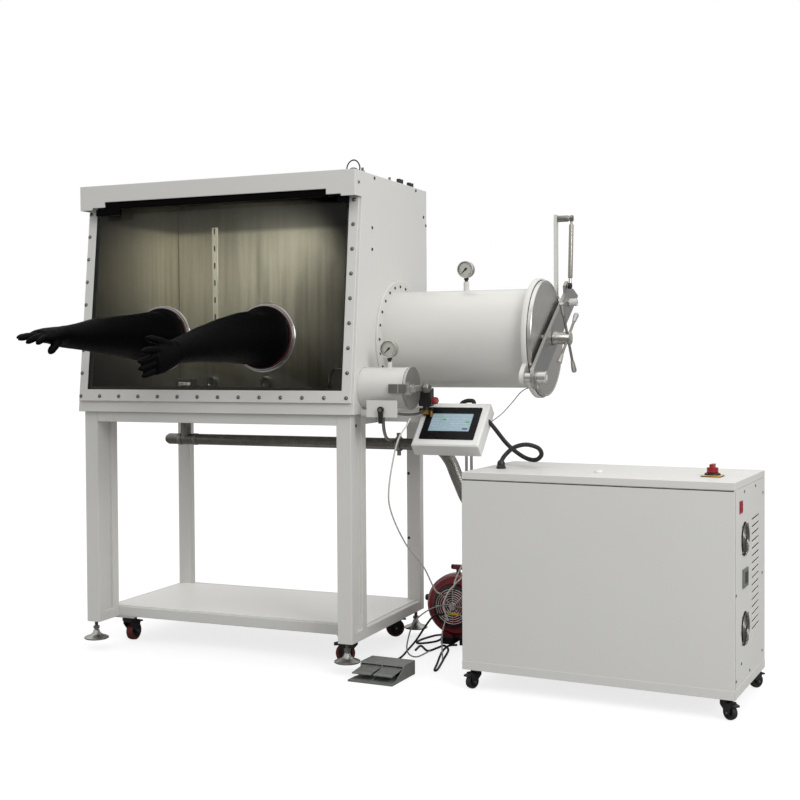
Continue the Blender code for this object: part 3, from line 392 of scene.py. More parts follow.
PAINT_TONE = (0.70, 0.695, 0.665)
PAINT = surface("powder_coat", PAINT_TONE, 0.42, grain=900, bump=0.12, mottle=0.02)
GLOSS_PAINT = surface("gloss_paint", (0.67, 0.665, 0.63), 0.24, grain=500, bump=0.02, mottle=0.006,
                      patch=2, coat=0.1, uneven=0.04)
SHELF_PAINT = surface("shelf_paint", (0.86, 0.85, 0.815), 0.32, grain=700, bump=0.03, mottle=0.012,
                      patch=3, uneven=0.08)
STEEL = surface("brushed_steel", (0.46, 0.45, 0.43), 0.34, 1.0, grain=250, bump=0.12,
                stretch=(1, 1, 14), mottle=0.08)
BEAM_STEEL = surface("beam_steel", (0.40, 0.40, 0.385), 0.42, 1.0, grain=260, bump=0.15,
                     stretch=(1, 8, 8), mottle=0.06)
BRIGHT = surface("bright_steel", (0.62, 0.61, 0.58), 0.18, 1.0, grain=160, bump=0.03, mottle=0.05)
DULL_STEEL = surface("dull_steel", (0.26, 0.25, 0.23), 0.38, 1.0, grain=120, bump=0.15, mottle=0.2,
                     patch=22)
RING_STEEL = surface("ring_steel", (0.42, 0.415, 0.395), 0.2, 1.0, grain=220, bump=0.015, mottle=0.03)
RAIL = surface("rail_steel", (0.60, 0.58, 0.50), 0.42, 0.4, grain=300, bump=0.1, stretch=(1, 1, 10))
PIPE_FOIL = surface("pipe_foil", (0.17, 0.163, 0.145), 0.3, 1.0, grain=90, bump=0.35, mottle=0.3,
                    patch=35)
LIGHT_COAT = surface("light_coat", (0.80, 0.795, 0.77), 0.45, grain=900, bump=0.12, mottle=0.015)
DARK_METAL = surface("dark_metal", (0.05, 0.05, 0.05), 0.4, 0.8, grain=300, bump=0.1, mottle=0.2)
RUBBER = surface("butyl_rubber", (0.0014, 0.0014, 0.0015), 0.5, grain=600, bump=0.25, mottle=0.2,
                 patch=14, shine=0.045)
BLACK = surface("black_plastic", (0.012, 0.012, 0.013), 0.38, grain=800, bump=0.15, mottle=0.15,
                patch=20)
BLACK_CABLE = surface("black_cable", (0.007, 0.007, 0.007), 0.55, grain=500, bump=0.2, mottle=0.2)
GREY_CABLE = surface("grey_cable", (0.30, 0.30, 0.30), 0.5, grain=500, bump=0.15, mottle=0.1)
WHITE_TUBE = surface("white_tube", (0.74, 0.73, 0.69), 0.3, grain=400, bump=0.08, mottle=0.05)
TREAD = surface("red_tread", (0.10, 0.012, 0.010), 0.5, grain=400, bump=0.25, mottle=0.25, patch=30)
BLACK_TREAD = surface("black_tread", (0.015, 0.015, 0.015), 0.5, grain=400, bump=0.25, mottle=0.2)
RED_ENAMEL = surface("red_enamel", (0.185, 0.005, 0.011), 0.32, grain=180, bump=0.3, mottle=0.2,
                     patch=14, coat=0.3)
RED_PLASTIC = surface("red_plastic", (0.27, 0.008, 0.009), 0.28, grain=600, bump=0.08, mottle=0.1)
RED_KNOB = surface("red_knob", (0.21, 0.006, 0.010), 0.35, grain=500, bump=0.1, mottle=0.15)
YELLOW = surface("yellow_plastic", (0.75, 0.47, 0.02), 0.35, grain=600, bump=0.08, mottle=0.08)
RING_RED = surface("red_ring", (0.075, 0.004, 0.005), 0.45, grain=500, bump=0.1, mottle=0.1)
CAST = surface("gritty_paint", (0.185, 0.192, 0.178), 0.6, 0.2, grain=520, bump=0.7, mottle=0.25,
               patch=60)
BRASS = surface("brass", (0.42, 0.24, 0.07), 0.35, 1.0, grain=200, bump=0.1, mottle=0.15, patch=30)
STRUT = surface("strut_tube", (0.36, 0.335, 0.30), 0.32, 0.7, grain=300, bump=0.08, mottle=0.12)
SCREEN_GLASS = surface("screen_bezel", (0.006, 0.006, 0.007), 0.3, grain=200, bump=0.01,
                       mottle=0.05, shine=0.12)
CLEAR = tinted_glass("gauge_glass", (0.93, 0.93, 0.92), 0.06)
WINDOW = tinted_glass("window_glass", (0.50, 0.50, 0.475), 0.08)
DOOR_FACE = circular_brush("faced_steel", (0.60, 0.59, 0.56), 0.36, (0, LARGE_Y, LARGE_Z))
SMALL_FACE = circular_brush("small_faced_steel", (0.44, 0.44, 0.415), 0.5, (0, SMALL_Y, SMALL_Z))


def glowing(name, colour, strength):
    """A glowing layer, slightly uneven as a backlight is: a lit display, or painted light on a gauge card
    that has no lamp.
    """
    material = surface(name, colour, 0.25, grain=300, bump=0.01, mottle=0.05, patch=12)
    tree = material.node_tree
    fill(tree, tree.nodes["Principled BSDF"],
         {"Emission Color": (*colour, 1), "Emission Strength": strength})
    return material


# painted light: the gauge card glows though nothing lights it from inside
DIAL_PAINTED_GLOW = glowing("dial_card_painted_glow", (0.88, 0.86, 0.80), 0.16)
DISPLAY = glowing("display", (0.26, 0.36, 0.42), 0.25)
DISPLAY_PALE = glowing("display_pale", (0.36, 0.44, 0.48), 0.25)
DISPLAY_GREEN = glowing("display_green", (0.08, 0.30, 0.08), 0.25)
DISPLAY_DARK = glowing("display_dark", (0.05, 0.04, 0.12), 0.2)


# ---------------------------------------------------------------- pieces
def smoothing():
    """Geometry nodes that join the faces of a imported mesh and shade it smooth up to 38 degrees."""
    group = bpy.data.node_groups.new("smooth_by_angle", "GeometryNodeTree")
    group.interface.new_socket("Geometry", in_out="INPUT", socket_type="NodeSocketGeometry")
    group.interface.new_socket("Geometry", in_out="OUTPUT", socket_type="NodeSocketGeometry")
    kinds = ("NodeGroupInput", "GeometryNodeMergeByDistance", "GeometryNodeRemoveAttribute",
             "GeometryNodeSetShadeSmooth", "GeometryNodeSetShadeSmooth", "NodeGroupOutput")
    chain = [group.nodes.new(kind) for kind in kinds]
    for before, after in zip(chain, chain[1:]):
        group.links.new(before.outputs[0], after.inputs["Geometry"])
    chain[1].inputs["Distance"].default_value = 0.00002
    chain[2].inputs["Name"].default_value = "custom_normal"
    chain[4].domain = "EDGE"
    chain[4].inputs["Shade Smooth"].default_value = False
    angle = group.nodes.new("GeometryNodeInputMeshEdgeAngle")
    sharp = group.nodes.new("FunctionNodeCompare")
    sharp.operation = "GREATER_THAN"
    sharp.inputs["B"].default_value = radians(38)
    group.links.new(angle.outputs["Unsigned Angle"], sharp.inputs["A"])
    group.links.new(sharp.outputs["Result"], chain[4].inputs["Selection"])
    return group


SMOOTH = smoothing()


def bevelled(solid, width, segments=2, angle=40):
    if width:
        bevel = solid.modifiers.new("soft_edges", "BEVEL")
        bevel.width = width * MM
        bevel.segments = segments
        bevel.limit_method = "ANGLE"
        bevel.angle_limit = radians(angle)
        bevel.use_clamp_overlap = True
        bevel.harden_normals = True
    return solid


def dress(node, look, bevel=0.8, segments=2):
    """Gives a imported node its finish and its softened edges."""
    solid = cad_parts[node]
    solid.data.materials.clear()
    solid.data.materials.append(look)
    smooth = solid.modifiers.new("smooth", "NODES")
    smooth.node_group = SMOOTH
    return bevelled(solid, bevel, segments)


def show(name, shape, look, body="base", bevel=0.0, angle=38, stands_for=()):
    """A piece of the visual model: its mesh in the row frame, its finish and its body."""
    points, faces = moved(shape, TO_WORLD)
    mesh = bpy.data.meshes.new(name)
    mesh.from_pydata(points, [], faces)
    work = bmesh.new()
    work.from_mesh(mesh)
    bmesh.ops.recalc_face_normals(work, faces=work.faces)
    work.to_mesh(mesh)
    work.free()
    mesh.shade_smooth()
    mesh.set_sharp_from_angle(angle=radians(angle))
    mesh.materials.append(look)
    solid = bpy.data.objects.new(name, mesh)
    bpy.context.scene.collection.objects.link(solid)
    if body:
        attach(solid, body)
    if stands_for:
        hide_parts(*stands_for)
    return bevelled(solid, bevel)


def screw_heads(name, places, radius, body="base", look=None, height=None):
    """Button heads with a hexagon socket, drawn outwards along +z of each place."""
    height = height or radius * 0.6
    dome = [(0, 0), (radius, 0), (radius, height * 0.35), (radius * 0.75, height * 0.85),
            (radius * 0.45, height), (radius * 0.45, height * 0.35), (0, height * 0.35)]
    show(name, copies(turned(dome, steps=12), places), look or DULL_STEEL, body)


# ---------------------------------------------------------------- stand
def stand_bars():
    """The welded frame as butted square tubes: two deep front legs, two rear posts and the rails."""
    low, top, tube_side = 111.0, BOX_LOW, 40.0
    left, right, front, rear = 18.0, 1202.0, 17.0, 740.0
    front_rear, post = 152.0, 60.0
    low_rail, top_rail = (low, low + tube_side), (top - tube_side, top)
    bars = []
    for x0, x1, side in ((left, left + post, (left, left + tube_side)),
                         (right - post, right, (right - tube_side, right))):
        for y0 in (front, front_rear - tube_side, rear - tube_side):
            bars.append(block((x0, x1), (y0, y0 + tube_side), (low, top)))
        bars.append(block((x0 + 12, x1 - 12), (front + 20, front_rear - 20), (low + 1, top)))
        bars.append(block((x0 + 0.3, x1 - 0.3), (front + 30, front_rear - 30), (low, low + 39)))
        bars.append(block((side[0] + 0.2, side[1] - 0.2), (front_rear, rear - tube_side), low_rail))
        bars.append(block((side[0] + 0.2, side[1] - 0.2), (front_rear, rear - tube_side), top_rail))
    middle, between = (left + post, right - post), (left + tube_side, right - tube_side)
    bars.append(block(middle, (front + 0.2, front + tube_side), top_rail))
    bars.append(block(middle, (rear - tube_side, rear - 0.2), top_rail))
    bars.append(block(middle, (rear - tube_side, rear - 0.2), low_rail))
    bars.append(block(between, (front_rear, front_rear + tube_side), low_rail))
    for x, y in ((99, 195), (1121, 195), (142, 648), (1078, 648)):
        plate = (left + 33, x + 48) if x < BOX_WIDE / 2 else (x - 48, right - 33)
        bars.append(block(plate, (y - 40, y + 40), (low - 8, low)))
    return bars


def show_stand():
    show("stand_bars", merged(*stand_bars()), PAINT, bevel=2.5, stands_for=["stand_frame"])
    dress("lower_shelf", SHELF_PAINT, 0.6)
    hole = rod(6.5, -1.0, 0.2, steps=20)
    places = [facing((0, -1, 0), (1150, 700, z)) for z in (685, 413)]
    places += [facing((1, 0, 0), (1202, 64, 921))]
    show("stand_plugs", copies(hole, places), BLACK)
    foot_look = surface("foot_steel", (0.40, 0.39, 0.37), 0.3, 1.0, grain=200, mottle=0.1)
    for side in ("front_left", "front_right", "rear_left", "rear_right"):
        low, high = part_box(f"foot_{side}")
        middle = (low + high) / 2
        x, y = ((middle - ORIGIN) / MM).xy
        z = low.z / MM
        stem = high.z / MM - z
        profile = [(0, 0), (46, 0), (49, 2), (49, 6), (44, 9), (26, 15), (15, 24), (12, 34),
                   (8, 37), (8, 40), (6, 41), (6, stem), (0, stem)]
        thread = [(0, 42)]
        for turn in range(int((stem - 44) / 2.5)):
            thread += [(6.2, 42 + 2.5 * turn), (7.2, 43.2 + 2.5 * turn)]
        thread += [(6.2, stem), (0, stem)]
        nut = prism(arc(13.5, 0, 2 * pi * 5 / 6, 5), 41, 51, "z")
        at = Matrix.Translation((x, y, z))
        body = f"foot_{side}"
        show(f"{body}_pad", moved(turned(profile), at), foot_look, body,
             stands_for=[body])
        show(f"{body}_stem", moved(merged(turned(thread, steps=20), nut), at),
             DULL_STEEL, body)


def caster(name, at, wheel_radius, wheel_wide, plate_low, tread, hub_look):
    """Fork, brake lever, wheel and axle nuts of one caster, in the caster's own frame."""
    trail, half = wheel_radius * 0.75, wheel_wide / 2 + 2
    axle = (0.0, trail, wheel_radius)
    crown = 2 * wheel_radius + 3
    head = turned([(0, crown + 4), (wheel_radius * 0.72, crown + 4), (wheel_radius * 0.8, crown + 9),
                   (wheel_radius * 0.8, plate_low - 3), (wheel_radius * 0.6, plate_low - 0.4),
                   (0, plate_low - 0.4)])
    arch = [(-0.52 * wheel_radius, crown + 5), (trail + 0.5 * wheel_radius, crown + 5),
            (trail + 0.62 * wheel_radius, crown - 3),
            *arc(0.36 * wheel_radius, 0.0, -pi, 10, axle[1:]), (-0.5 * wheel_radius, crown - 6)]
    cheeks = [prism(arch, side * half, side * (half + 3)) for side in (-1, 1)]
    top = block((-half - 3, half + 3), (-0.5 * wheel_radius, trail + 0.5 * wheel_radius),
                (crown + 1, crown + 5))
    nuts = [rod(0.17 * wheel_radius, side * (half + 3), side * (half + 7), axle, "x", 6)
            for side in (-1, 1)]
    lever_y = trail + 0.55 * wheel_radius
    lever = prism([(lever_y - 6, crown + 4), (lever_y + 0.60 * wheel_radius, crown - 2),
                   (lever_y + 0.64 * wheel_radius, crown - 8), (lever_y, crown - 7)],
                  -half - 1, half + 1)
    body = f"{name}_fork"
    show(f"{name}_bracket", moved(merged(head, top, *cheeks, lever), at), BLACK, body, 0.8,
         stands_for=[body])
    show(f"{name}_nuts", moved(merged(*nuts), at), DULL_STEEL, body)
    side, rim = wheel_wide / 2, wheel_radius * 0.70
    tyre = [(rim, -side + 1), (wheel_radius - 3, -side), (wheel_radius - 0.8, -side + 2),
            (wheel_radius, -side * 0.4), (wheel_radius, side * 0.4), (wheel_radius - 0.8, side - 2),
            (wheel_radius - 3, side), (rim, side - 1)]
    core = [(5, -half + 1), (rim * 0.4, -half + 1), (rim * 0.45, -side + 4), (rim * 0.85, -side + 4),
            (rim * 0.95, -side + 0.5), (rim, -side + 0.5), (rim, side - 0.5), (rim * 0.95, side - 0.5),
            (rim * 0.85, side - 4), (rim * 0.45, side - 4), (rim * 0.4, half - 1), (5, half - 1)]
    show(f"{name}_tread", moved(turned(tyre, axle, "x"), at), tread, f"{name}_wheel",
         stands_for=[f"{name}_wheel"])
    show(f"{name}_core", moved(turned(core, axle, "x"), at), hub_look, f"{name}_wheel")


def show_casters():
    places = {"front_left": (99, 195, 0), "front_right": (1121, 195, 118),
              "rear_left": (142, 648, 200), "rear_right": (1078, 648, -52)}
    for side, (x, y, yaw) in places.items():
        at = Matrix.Translation((x, y, 0)) @ Matrix.Rotation(radians(yaw), 4, "Z")
        caster(f"stand_caster_{side}", at, 37.5, 28.0, 103.0, TREAD, BLACK)
    places = {"front_left": (37, 37, 155), "front_right": (918, 37, -120),
              "rear_left": (37, 450, 20), "rear_right": (918, 450, -38)}
    for side, (x, y, yaw) in places.items():
        at = CABINET @ Matrix.Translation((x, y, 0)) @ Matrix.Rotation(radians(yaw), 4, "Z")
        caster(f"cabinet_caster_{side}", at, 25.0, 20.0, CABINET_LOW, BLACK_TREAD, BLACK)


# ---------------------------------------------------------------- box
def show_box():
    dress("box_shell", box_finish(), 3.0, 3)
    dress("window_frame", PAINT, 1.5, 2)
    dress("window_pane", WINDOW, 0.0)
    first, last = 16.0, 1194.0
    spots = [(first + (last - first) * i / 13, 62.0) for i in range(14)]
    spots += [(x, 62 + 92.5 * i) for x in (first, last) for i in range(1, 9)]
    places = [SLOPE @ Matrix.Translation((x, up, 12)) for x, up in spots]
    show("window_washers", copies(rod(7.4, 0, 0.7, steps=20), places), BLACK)
    heads = [at @ Matrix.Translation((0, 0, 0.6)) for at in places]
    screw_heads("window_screws", heads, 6.0)


def show_hood():
    """Black blocks of painted shadow under the hood, its fixing screws and the lamp in its recess."""
    # painted shadow: black blocks put in the shade under the hood and its tabs
    stops = merged(block((72, 186), (33, 45), (1748, 1773)), block((1146, 1190), (33, 45), (1746, 1773)),
                   block((119, 1101), (33, 44), (1773, 1806)))
    show("hood_painted_shadow_blocks", stops, RUBBER)
    lamp = rod(13, 90, 1130, (0, 62, 1838), "x", 24)
    ends = merged(rod(15, 70, 92, (0, 62, 1838), "x"), rod(15, 1128, 1150, (0, 62, 1838), "x"))
    show("lamp_tube", lamp, WHITE_TUBE)
    show("lamp_ends", ends, BLACK)
    sides = ((182, 1666), (181, 1584), (207, 1856), (626, 1857), (710, 1757), (736, 1724))
    dots = [facing((1, 0, 0), (BOX_WIDE, y, z)) for y, z in sides]
    screw_heads("side_screws", dots, 6.5, look=BLACK, height=2.5)
    screw_heads("hood_screws", [facing((1, 0, 0), (BOX_WIDE, 61, 1824))], 7.0)


def show_roof():
    loop = cable([(1170, 66, 1867), (1171, 68, 1884), (1180, 70, 1900), (1196, 71, 1907),
                  (1211, 72, 1900), (1219, 74, 1884), (1218, 76, 1868)], 2.6)
    low = cable([(1176, 70, 1868), (1186, 72, 1876), (1200, 74, 1876), (1212, 78, 1868)], 3.0)
    show("roof_cable", merged(loop, low), BLACK_CABLE)
    fittings = []
    for x, y in ((1205, 130), (1195, 411), (1195, 505), (1195, 530), (1195, 612), (1195, 640)):
        fittings.append(rod(9, 1868, 1874, (x, y, 0)))
        fittings.append(rod(5.5, 1873, 1886, (x, y, 0), steps=6))
    show("roof_fittings", merged(*fittings), DULL_STEEL)
    caps = [rod(9, 1880, 1892, (1195, y, 0)) for y in (505, 530)]
    caps += [rod(9, 1878, 1890, (1195, y, 0)) for y in (612, 640)]
    show("roof_caps", merged(*caps, block((1189, 1201), (498, 538), (1874, 1884)),
                             block((1189, 1201), (602, 650), (1873, 1883))), BLACK, bevel=1)


def show_inside():
    """Shelf rail, socket, filter ports and seams on the rear wall of the work space."""
    show("shelf_rail", block((188, 214), (731, 739.6), (1340, 1760)), RAIL, bevel=0.8)
    slots = [block((197.5, 204.5), (730.2, 733), (1345 + 77 * i, 1371 + 77 * i)) for i in range(6)]
    show("rail_slots", merged(*slots), BLACK)
    show("rear_seam", block((5, 8), (738.6, 739.8), (980, 1850)), DARK_METAL)
    show("socket_box", block((17, 96), (700, 739.6), (1000, 1083)), STEEL, bevel=2)
    # painted highlight: small white strips stand for glints on the socket's face
    faces = [block((a, a + 18), (698.6, 700.6), (1050, 1066)) for a in (24, 46, 68)]
    show("socket_painted_glints", merged(*faces), WHITE_TUBE, bevel=1)
    for number, (x, z) in enumerate(((179, 1065), (457, 1066))):
        show(f"rear_port_{number}", tube(15, 26, 722, 739.6, (x, 0, z), "y"), STEEL, bevel=1)
        show(f"rear_port_core_{number}", rod(15, 728, 739.6, (x, 0, z), "y"), DULL_STEEL)
    dress("large_inner_door", STEEL, 1.0)
    dress("small_inner_door", BRIGHT, 1.0)
    dress("sliding_tray", STEEL, 0.6)


def show_ports():
    profile = [(104, -14), (109.4, -14), (109.4, 8.4), (132, 8.4), (132, 12), (130.5, 13.5),
               (126, 13.8), (125, 15.5), (125, 20), (124, 21.6), (120, 22), (118, 22.4), (114, 24),
               (114, 30), (112, 32.5), (106, 32.5), (104, 31)]
    for side, x in zip(("left", "right"), PORT_X):
        place = SLOPE @ Matrix.Translation((x, PORT_UP, 0))
        show(f"port_flange_{side}", moved(turned(profile, steps=72), place), RING_STEEL,
             stands_for=[f"port_ring_{side}"])
        band = [(117, 24.6), (120.6, 24.6), (121.2, 26.3), (120.6, 28), (117, 28)]
        show(f"port_band_{side}", moved(turned(band, steps=72), place), RING_RED)
        circle = arc(128.4, radians(15), radians(315), 5)
        heads = [place @ Matrix.Translation((u, v, 12)) for u, v in circle]
        screw_heads(f"port_screws_{side}", heads, 3.2)


# ---------------------------------------------------------------- gloves
def finger(root, tip, radius, bend=0.0, steps=14):
    """Points of a finger as a swept bar with a round end, slightly bent downwards."""
    root, tip = Vector(root), Vector(tip)
    path = []
    for step in range(11):
        t = step / 10
        path.append(root.lerp(tip, t) + Vector((0, 0, -bend * sin(pi * t))))
    widths = [1.08, 1.06, 1.0, 0.96, 1.0, 0.95, 0.90, 0.92, 0.84, 0.64, 0.25]
    return swept(path, lambda i: radius * widths[i], steps)


def glove_sleeve(stations, cuff_rings):
    """Sleeve rings with the long shallow creases that stretched rubber shows."""
    centres = curve_through([(x, y, z) for y, x, z, _ in stations], 8)
    radii = [point.x for point in curve_through([(radius, 0, 0) for *_, radius in stations], 8)]
    rings = list(cuff_rings)
    steps = len(cuff_rings[0])
    for i, (centre, radius) in enumerate(zip(centres, radii)):
        along = (centres[min(i + 1, len(centres) - 1)] - centres[max(i - 1, 0)]).normalized()
        side = Vector((1, 0, 0)) - along * along.x
        side.normalize()
        over = side.cross(along)
        if over.z < 0:
            over.negate()
        ring = []
        for step in range(steps):
            turn = 2 * pi * step / steps
            spot = cos(turn) * side + sin(turn) * over
            crease = noise(Vector((spot.x * 1.6, centre.y / 90, spot.z * 1.6)))
            fine = noise(Vector((spot.x * 5, centre.y / 26, spot.z * 5)))
            ring.append(centre + spot * (radius + 1.6 * crease + 0.5 * fine))
        rings.append(ring)
    return lofted(rings)


def melted(name, shape, look, voxel, stands_for):
    """One skin round several overlapping shapes, as a moulded glove is."""
    solid = show(name, shape, look, None, stands_for=stands_for, angle=180)
    remesh = solid.modifiers.new("one_skin", "REMESH")
    remesh.mode = "VOXEL"
    remesh.voxel_size = voxel * MM
    remesh.use_smooth_shade = True
    smooth = solid.modifiers.new("smooth", "SMOOTH")
    smooth.factor = 0.6
    smooth.iterations = 6
    graph = bpy.context.evaluated_depsgraph_get()
    skin = bpy.data.meshes.new_from_object(solid.evaluated_get(graph))
    solid.modifiers.clear()
    solid.data = skin
    skin.shade_smooth()
    return solid


def palm_rings(stations, steps=28):
    """Flattened rings for a palm: each station is centre, half sizes and roll."""
    rings = []
    for (x, y, z), wide, high, roll in stations:
        ring = []
        for step in range(steps):
            turn = 2 * pi * step / steps
            u, v = wide * cos(turn), high * sin(turn)
            ring.append((x + u * cos(roll) - v * sin(roll), y, z + u * sin(roll) + v * cos(roll)))
        rings.append(ring)
    return lofted(rings)


def show_gloves():
    steps = 56

    def cuff(x):
        """Rubber turned over the end of the port ring: rings at (height, radius) over the slope."""
        up = SLOPE.to_3x3() @ Vector((0, 1, 0))
        turns = [2 * pi * step / steps for step in range(steps)]
        rings = []
        for height, radius in ((28, 101), (28, 118), (33, 119), (37, 117), (40, 112)):
            centre = SLOPE @ Vector((x, PORT_UP, height))
            rings.append([centre + radius * (cos(t) * Vector((1, 0, 0)) + sin(t) * up) for t in turns])
        return rings

    def tie(skin):
        """Bakes the skin's placement into its mesh."""
        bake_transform(skin)

    def glove(side, x, stations, palm, fingers):
        name = f"glove_{side}"
        hand = merged(glove_sleeve(stations, cuff(x)), palm_rings(palm), *fingers)
        tie(melted(f"{name}_skin", hand, RUBBER, 3.2, [name]))

    glove("right", PORT_X[1],
          ((-20, 841, 1250, 106), (-60, 838, 1250, 100), (-121, 831, 1249, 96),
           (-216, 825, 1242, 84), (-295, 820, 1234, 74), (-383, 815, 1224, 62),
           (-455, 810, 1213, 52), (-520, 805, 1202, 45), (-548, 803, 1196, 43)),
          (((803, -530, 1199), 43, 43, 0.2), ((801, -568, 1188), 35, 47, 0.2),
           ((797, -608, 1175), 25, 50, 0.15), ((792, -642, 1167), 21, 47, 0.1)),
          [finger((806, -572, 1222), (764, -652, 1246), 14.5, -3),
           finger((798, -628, 1206), (784, -704, 1199), 12.5, -3),
           finger((792, -636, 1186), (768, -706, 1166), 12.5, 4),
           finger((790, -636, 1163), (767, -702, 1142), 12, 4),
           finger((790, -628, 1141), (773, -690, 1118), 11.5, 4)])
    glove("left", PORT_X[0],
          ((-20, 383, 1251, 106), (-67, 379, 1257, 98), (-167, 370, 1259, 83),
           (-267, 361, 1260, 72), (-358, 353, 1261, 63), (-433, 346, 1258, 51),
           (-491, 341, 1256, 43), (-540, 338, 1255, 38)),
          (((338, -525, 1255), 38, 38, 0.0), ((336, -568, 1257), 45, 33, -0.1),
           ((331, -610, 1258), 48, 27, -0.15), ((325, -642, 1255), 45, 21, -0.2)),
          [finger((362, -585, 1244), (367, -646, 1196), 15.5, 2),
           finger((354, -636, 1252), (350, -692, 1228), 12.5, -3),
           finger((336, -642, 1255), (319, -708, 1231), 12.5, -4),
           finger((314, -640, 1257), (283, -706, 1244), 12.5, -4),
           finger((298, -630, 1258), (262, -688, 1250), 11.5, -3)])


# ---------------------------------------------------------------- transfer chambers
def gauge_face(name, x, y, z, body_look):
    """Bezel, card with painted glow, graduations and glass of a dial gauge that faces the front, with a
    black ring of painted shadow inside the bezel.
    """
    front = y - 15
    case = turned([(0, front + 28), (27, front + 28), (32, front + 25), (32, front + 6),
                   (33, front + 5), (33, front), (31, front - 1), (28.5, front), (28.5, front + 5),
                   (0, front + 5)], (x, 0, z), "y")
    stem = merged(rod(6.5, z - 47, z - 30, (x, y, 0)), rod(10, z - 40, z - 33, (x, y, 0), steps=6))
    show(f"{name}_case", case, body_look, stands_for=[name])
    show(f"{name}_stem", stem, DARK_METAL)
    # painted shadow: a black ring inside the bezel where the case wall shades the card
    shade = tube(27.4, 28.6, front + 0.9, front + 4.3, (x, 0, z), "y")
    show(f"{name}_shade", shade, BLACK)
    show(f"{name}_card", rod(28, front + 4.2, front + 4.9, (x, 0, z), "y", 48), DIAL_PAINTED_GLOW)
    ticks = []
    for i in range(41):
        inner, wide = (20.5, 0.55) if i % 4 == 0 else (22.5, 0.3)
        tick = block((-wide, wide), (front + 3.8, front + 4.1), (inner, 25))
        ticks.append(copies(tick, around((x, 0, z), "Y", [-135 + 270 * i / 40])))
    show(f"{name}_ticks", merged(*ticks), BLACK)
    show(f"{name}_glass", rod(28.4, front + 0.2, front + 0.9, (x, 0, z), "y", 48), CLEAR)
    dress(f"{name}_needle", BLACK, 0.2)


def show_large_chamber():
    dress("large_chamber", GLOSS_PAINT, 1.2)
    axis = (0, LARGE_Y, LARGE_Z)
    skin = turned([(187.5, 1228.2), (188.6, 1228.2), (188.6, 1794.8), (187.5, 1794.8)], axis, "x", 96)
    show("large_tube_skin", skin, GLOSS_PAINT)
    flange = turned([(186, 1796), (226.5, 1796), (227.2, 1798), (227.2, 1812), (225, 1815.2),
                     (183, 1815.2), (183, 1814)], axis, "x", 96)
    show("large_end_flange", flange, GLOSS_PAINT)
    seal = turned([(196, 1815), (221, 1815), (221, 1816.9), (196, 1816.9)], axis, "x", 96)
    show("large_door_seal", seal, BLACK_CABLE)
    wall = turned([(188, 1220.4), (231.4, 1220.4), (231.4, 1226.5), (229.5, 1228.4), (188, 1228.4)],
                  axis, "x", 96)
    show("large_wall_flange", wall, GLOSS_PAINT)
    circle = arc(210, 0, 2 * pi * 23 / 24, 23, (LARGE_Y, LARGE_Z))
    bolts = [facing((1, 0, 0), (1228, y, z)) for y, z in circle]
    screw_heads("large_flange_bolts", bolts, 6.0, look=DARK_METAL)
    for side, at in (("latch", -1), ("pivot", 1)):
        y = LARGE_Y + at * PIN_REACH * cos(BEAM_ANGLE)
        z = LARGE_Z + at * PIN_REACH * sin(BEAM_ANGLE)
        show(f"{side}_standoff", rod(17.6, 1812.3, 1842.3, (0, y, z), "x", 40), BRIGHT, bevel=1.2)
    latch = (0, LARGE_Y - PIN_REACH * cos(BEAM_ANGLE), LARGE_Z - PIN_REACH * sin(BEAM_ANGLE))
    boss = turned([(0, 1856), (19, 1856), (21.6, 1858), (21.6, 1891), (19, 1893.4), (12, 1893.4),
                   (12, 1888), (0, 1888)], latch, "x")
    show("latch_boss", boss, BRIGHT)
    pivot = (0, LARGE_Y + PIN_REACH * cos(BEAM_ANGLE), LARGE_Z + PIN_REACH * sin(BEAM_ANGLE))
    cap = turned([(0, 1855.8), (15.4, 1855.8), (15.4, 1861), (11.4, 1861), (11.4, 1886), (9, 1889.3),
                  (0, 1889.3)], pivot, "x")
    show("pivot_cap", cap, BRIGHT)
    stub = turned([(0, 1810.4), (11.6, 1810.4), (12.6, 1812), (12.6, 1852), (11, 1854.3), (4, 1854.5),
                   (4, 1860), (7.4, 1860.6), (7.4, 1873.4), (0, 1873.4)], (0, 665, 1718), "x")
    show("strut_stub", stub, DULL_STEEL)
    dress("large_door", DOOR_FACE, 0.8)
    rim = turned([(213, 1831.1), (215, 1832.4), (218, 1832), (219.5, 1830), (219.6, 1817.4),
                  (216, 1817.1), (213, 1817.2)], axis, "x", 96)
    show("large_door_rim", rim, BRIGHT, "large_door")
    knob = turned([(0, 1830.8), (5, 1830.8), (5, 1832.4), (8.5, 1832.8), (9, 1834.6), (7, 1835.8),
                   (0, 1836)], (0, 372, 1246), "x", 24)
    show("large_door_knob", knob, WHITE_TUBE, "large_door")
    dress("door_beam", BEAM_STEEL, 1.2)
    show_handwheel()
    show_gas_spring()
    gauge_face("large_gauge", 1507, LARGE_Y, 1513.3, BRIGHT)


def show_handwheel():
    hub_axis = (0, LARGE_Y, LARGE_Z)
    hub = turned([(0, 1857.5), (27, 1857.5), (27, 1868), (24, 1870), (24, 1918), (25.5, 1920),
                  (25.5, 1923), (22, 1925), (11, 1925.5), (0, 1925.5)], hub_axis, "x", 40)
    screw = rod(10, 1830, 1858, hub_axis, "x", 24)
    show("handwheel_hub", merged(hub, screw), BRIGHT, "door_handwheel", stands_for=["door_handwheel"])
    spoke = turned([(0, 20), (5, 20), (5, 112), (0, 112)], steps=20)
    grip = turned([(0, 106), (5.6, 106), (7.2, 112), (9.8, 146), (10, 153), (8.4, 157), (0, 158)],
                  (0, 0, 0), steps=24)
    places = around((1912, LARGE_Y, LARGE_Z), "X", (36, 126, 216, 306))
    show("handwheel_spokes", copies(spoke, places), DULL_STEEL, "door_handwheel")
    show("handwheel_grips", copies(grip, places), STEEL, "door_handwheel")


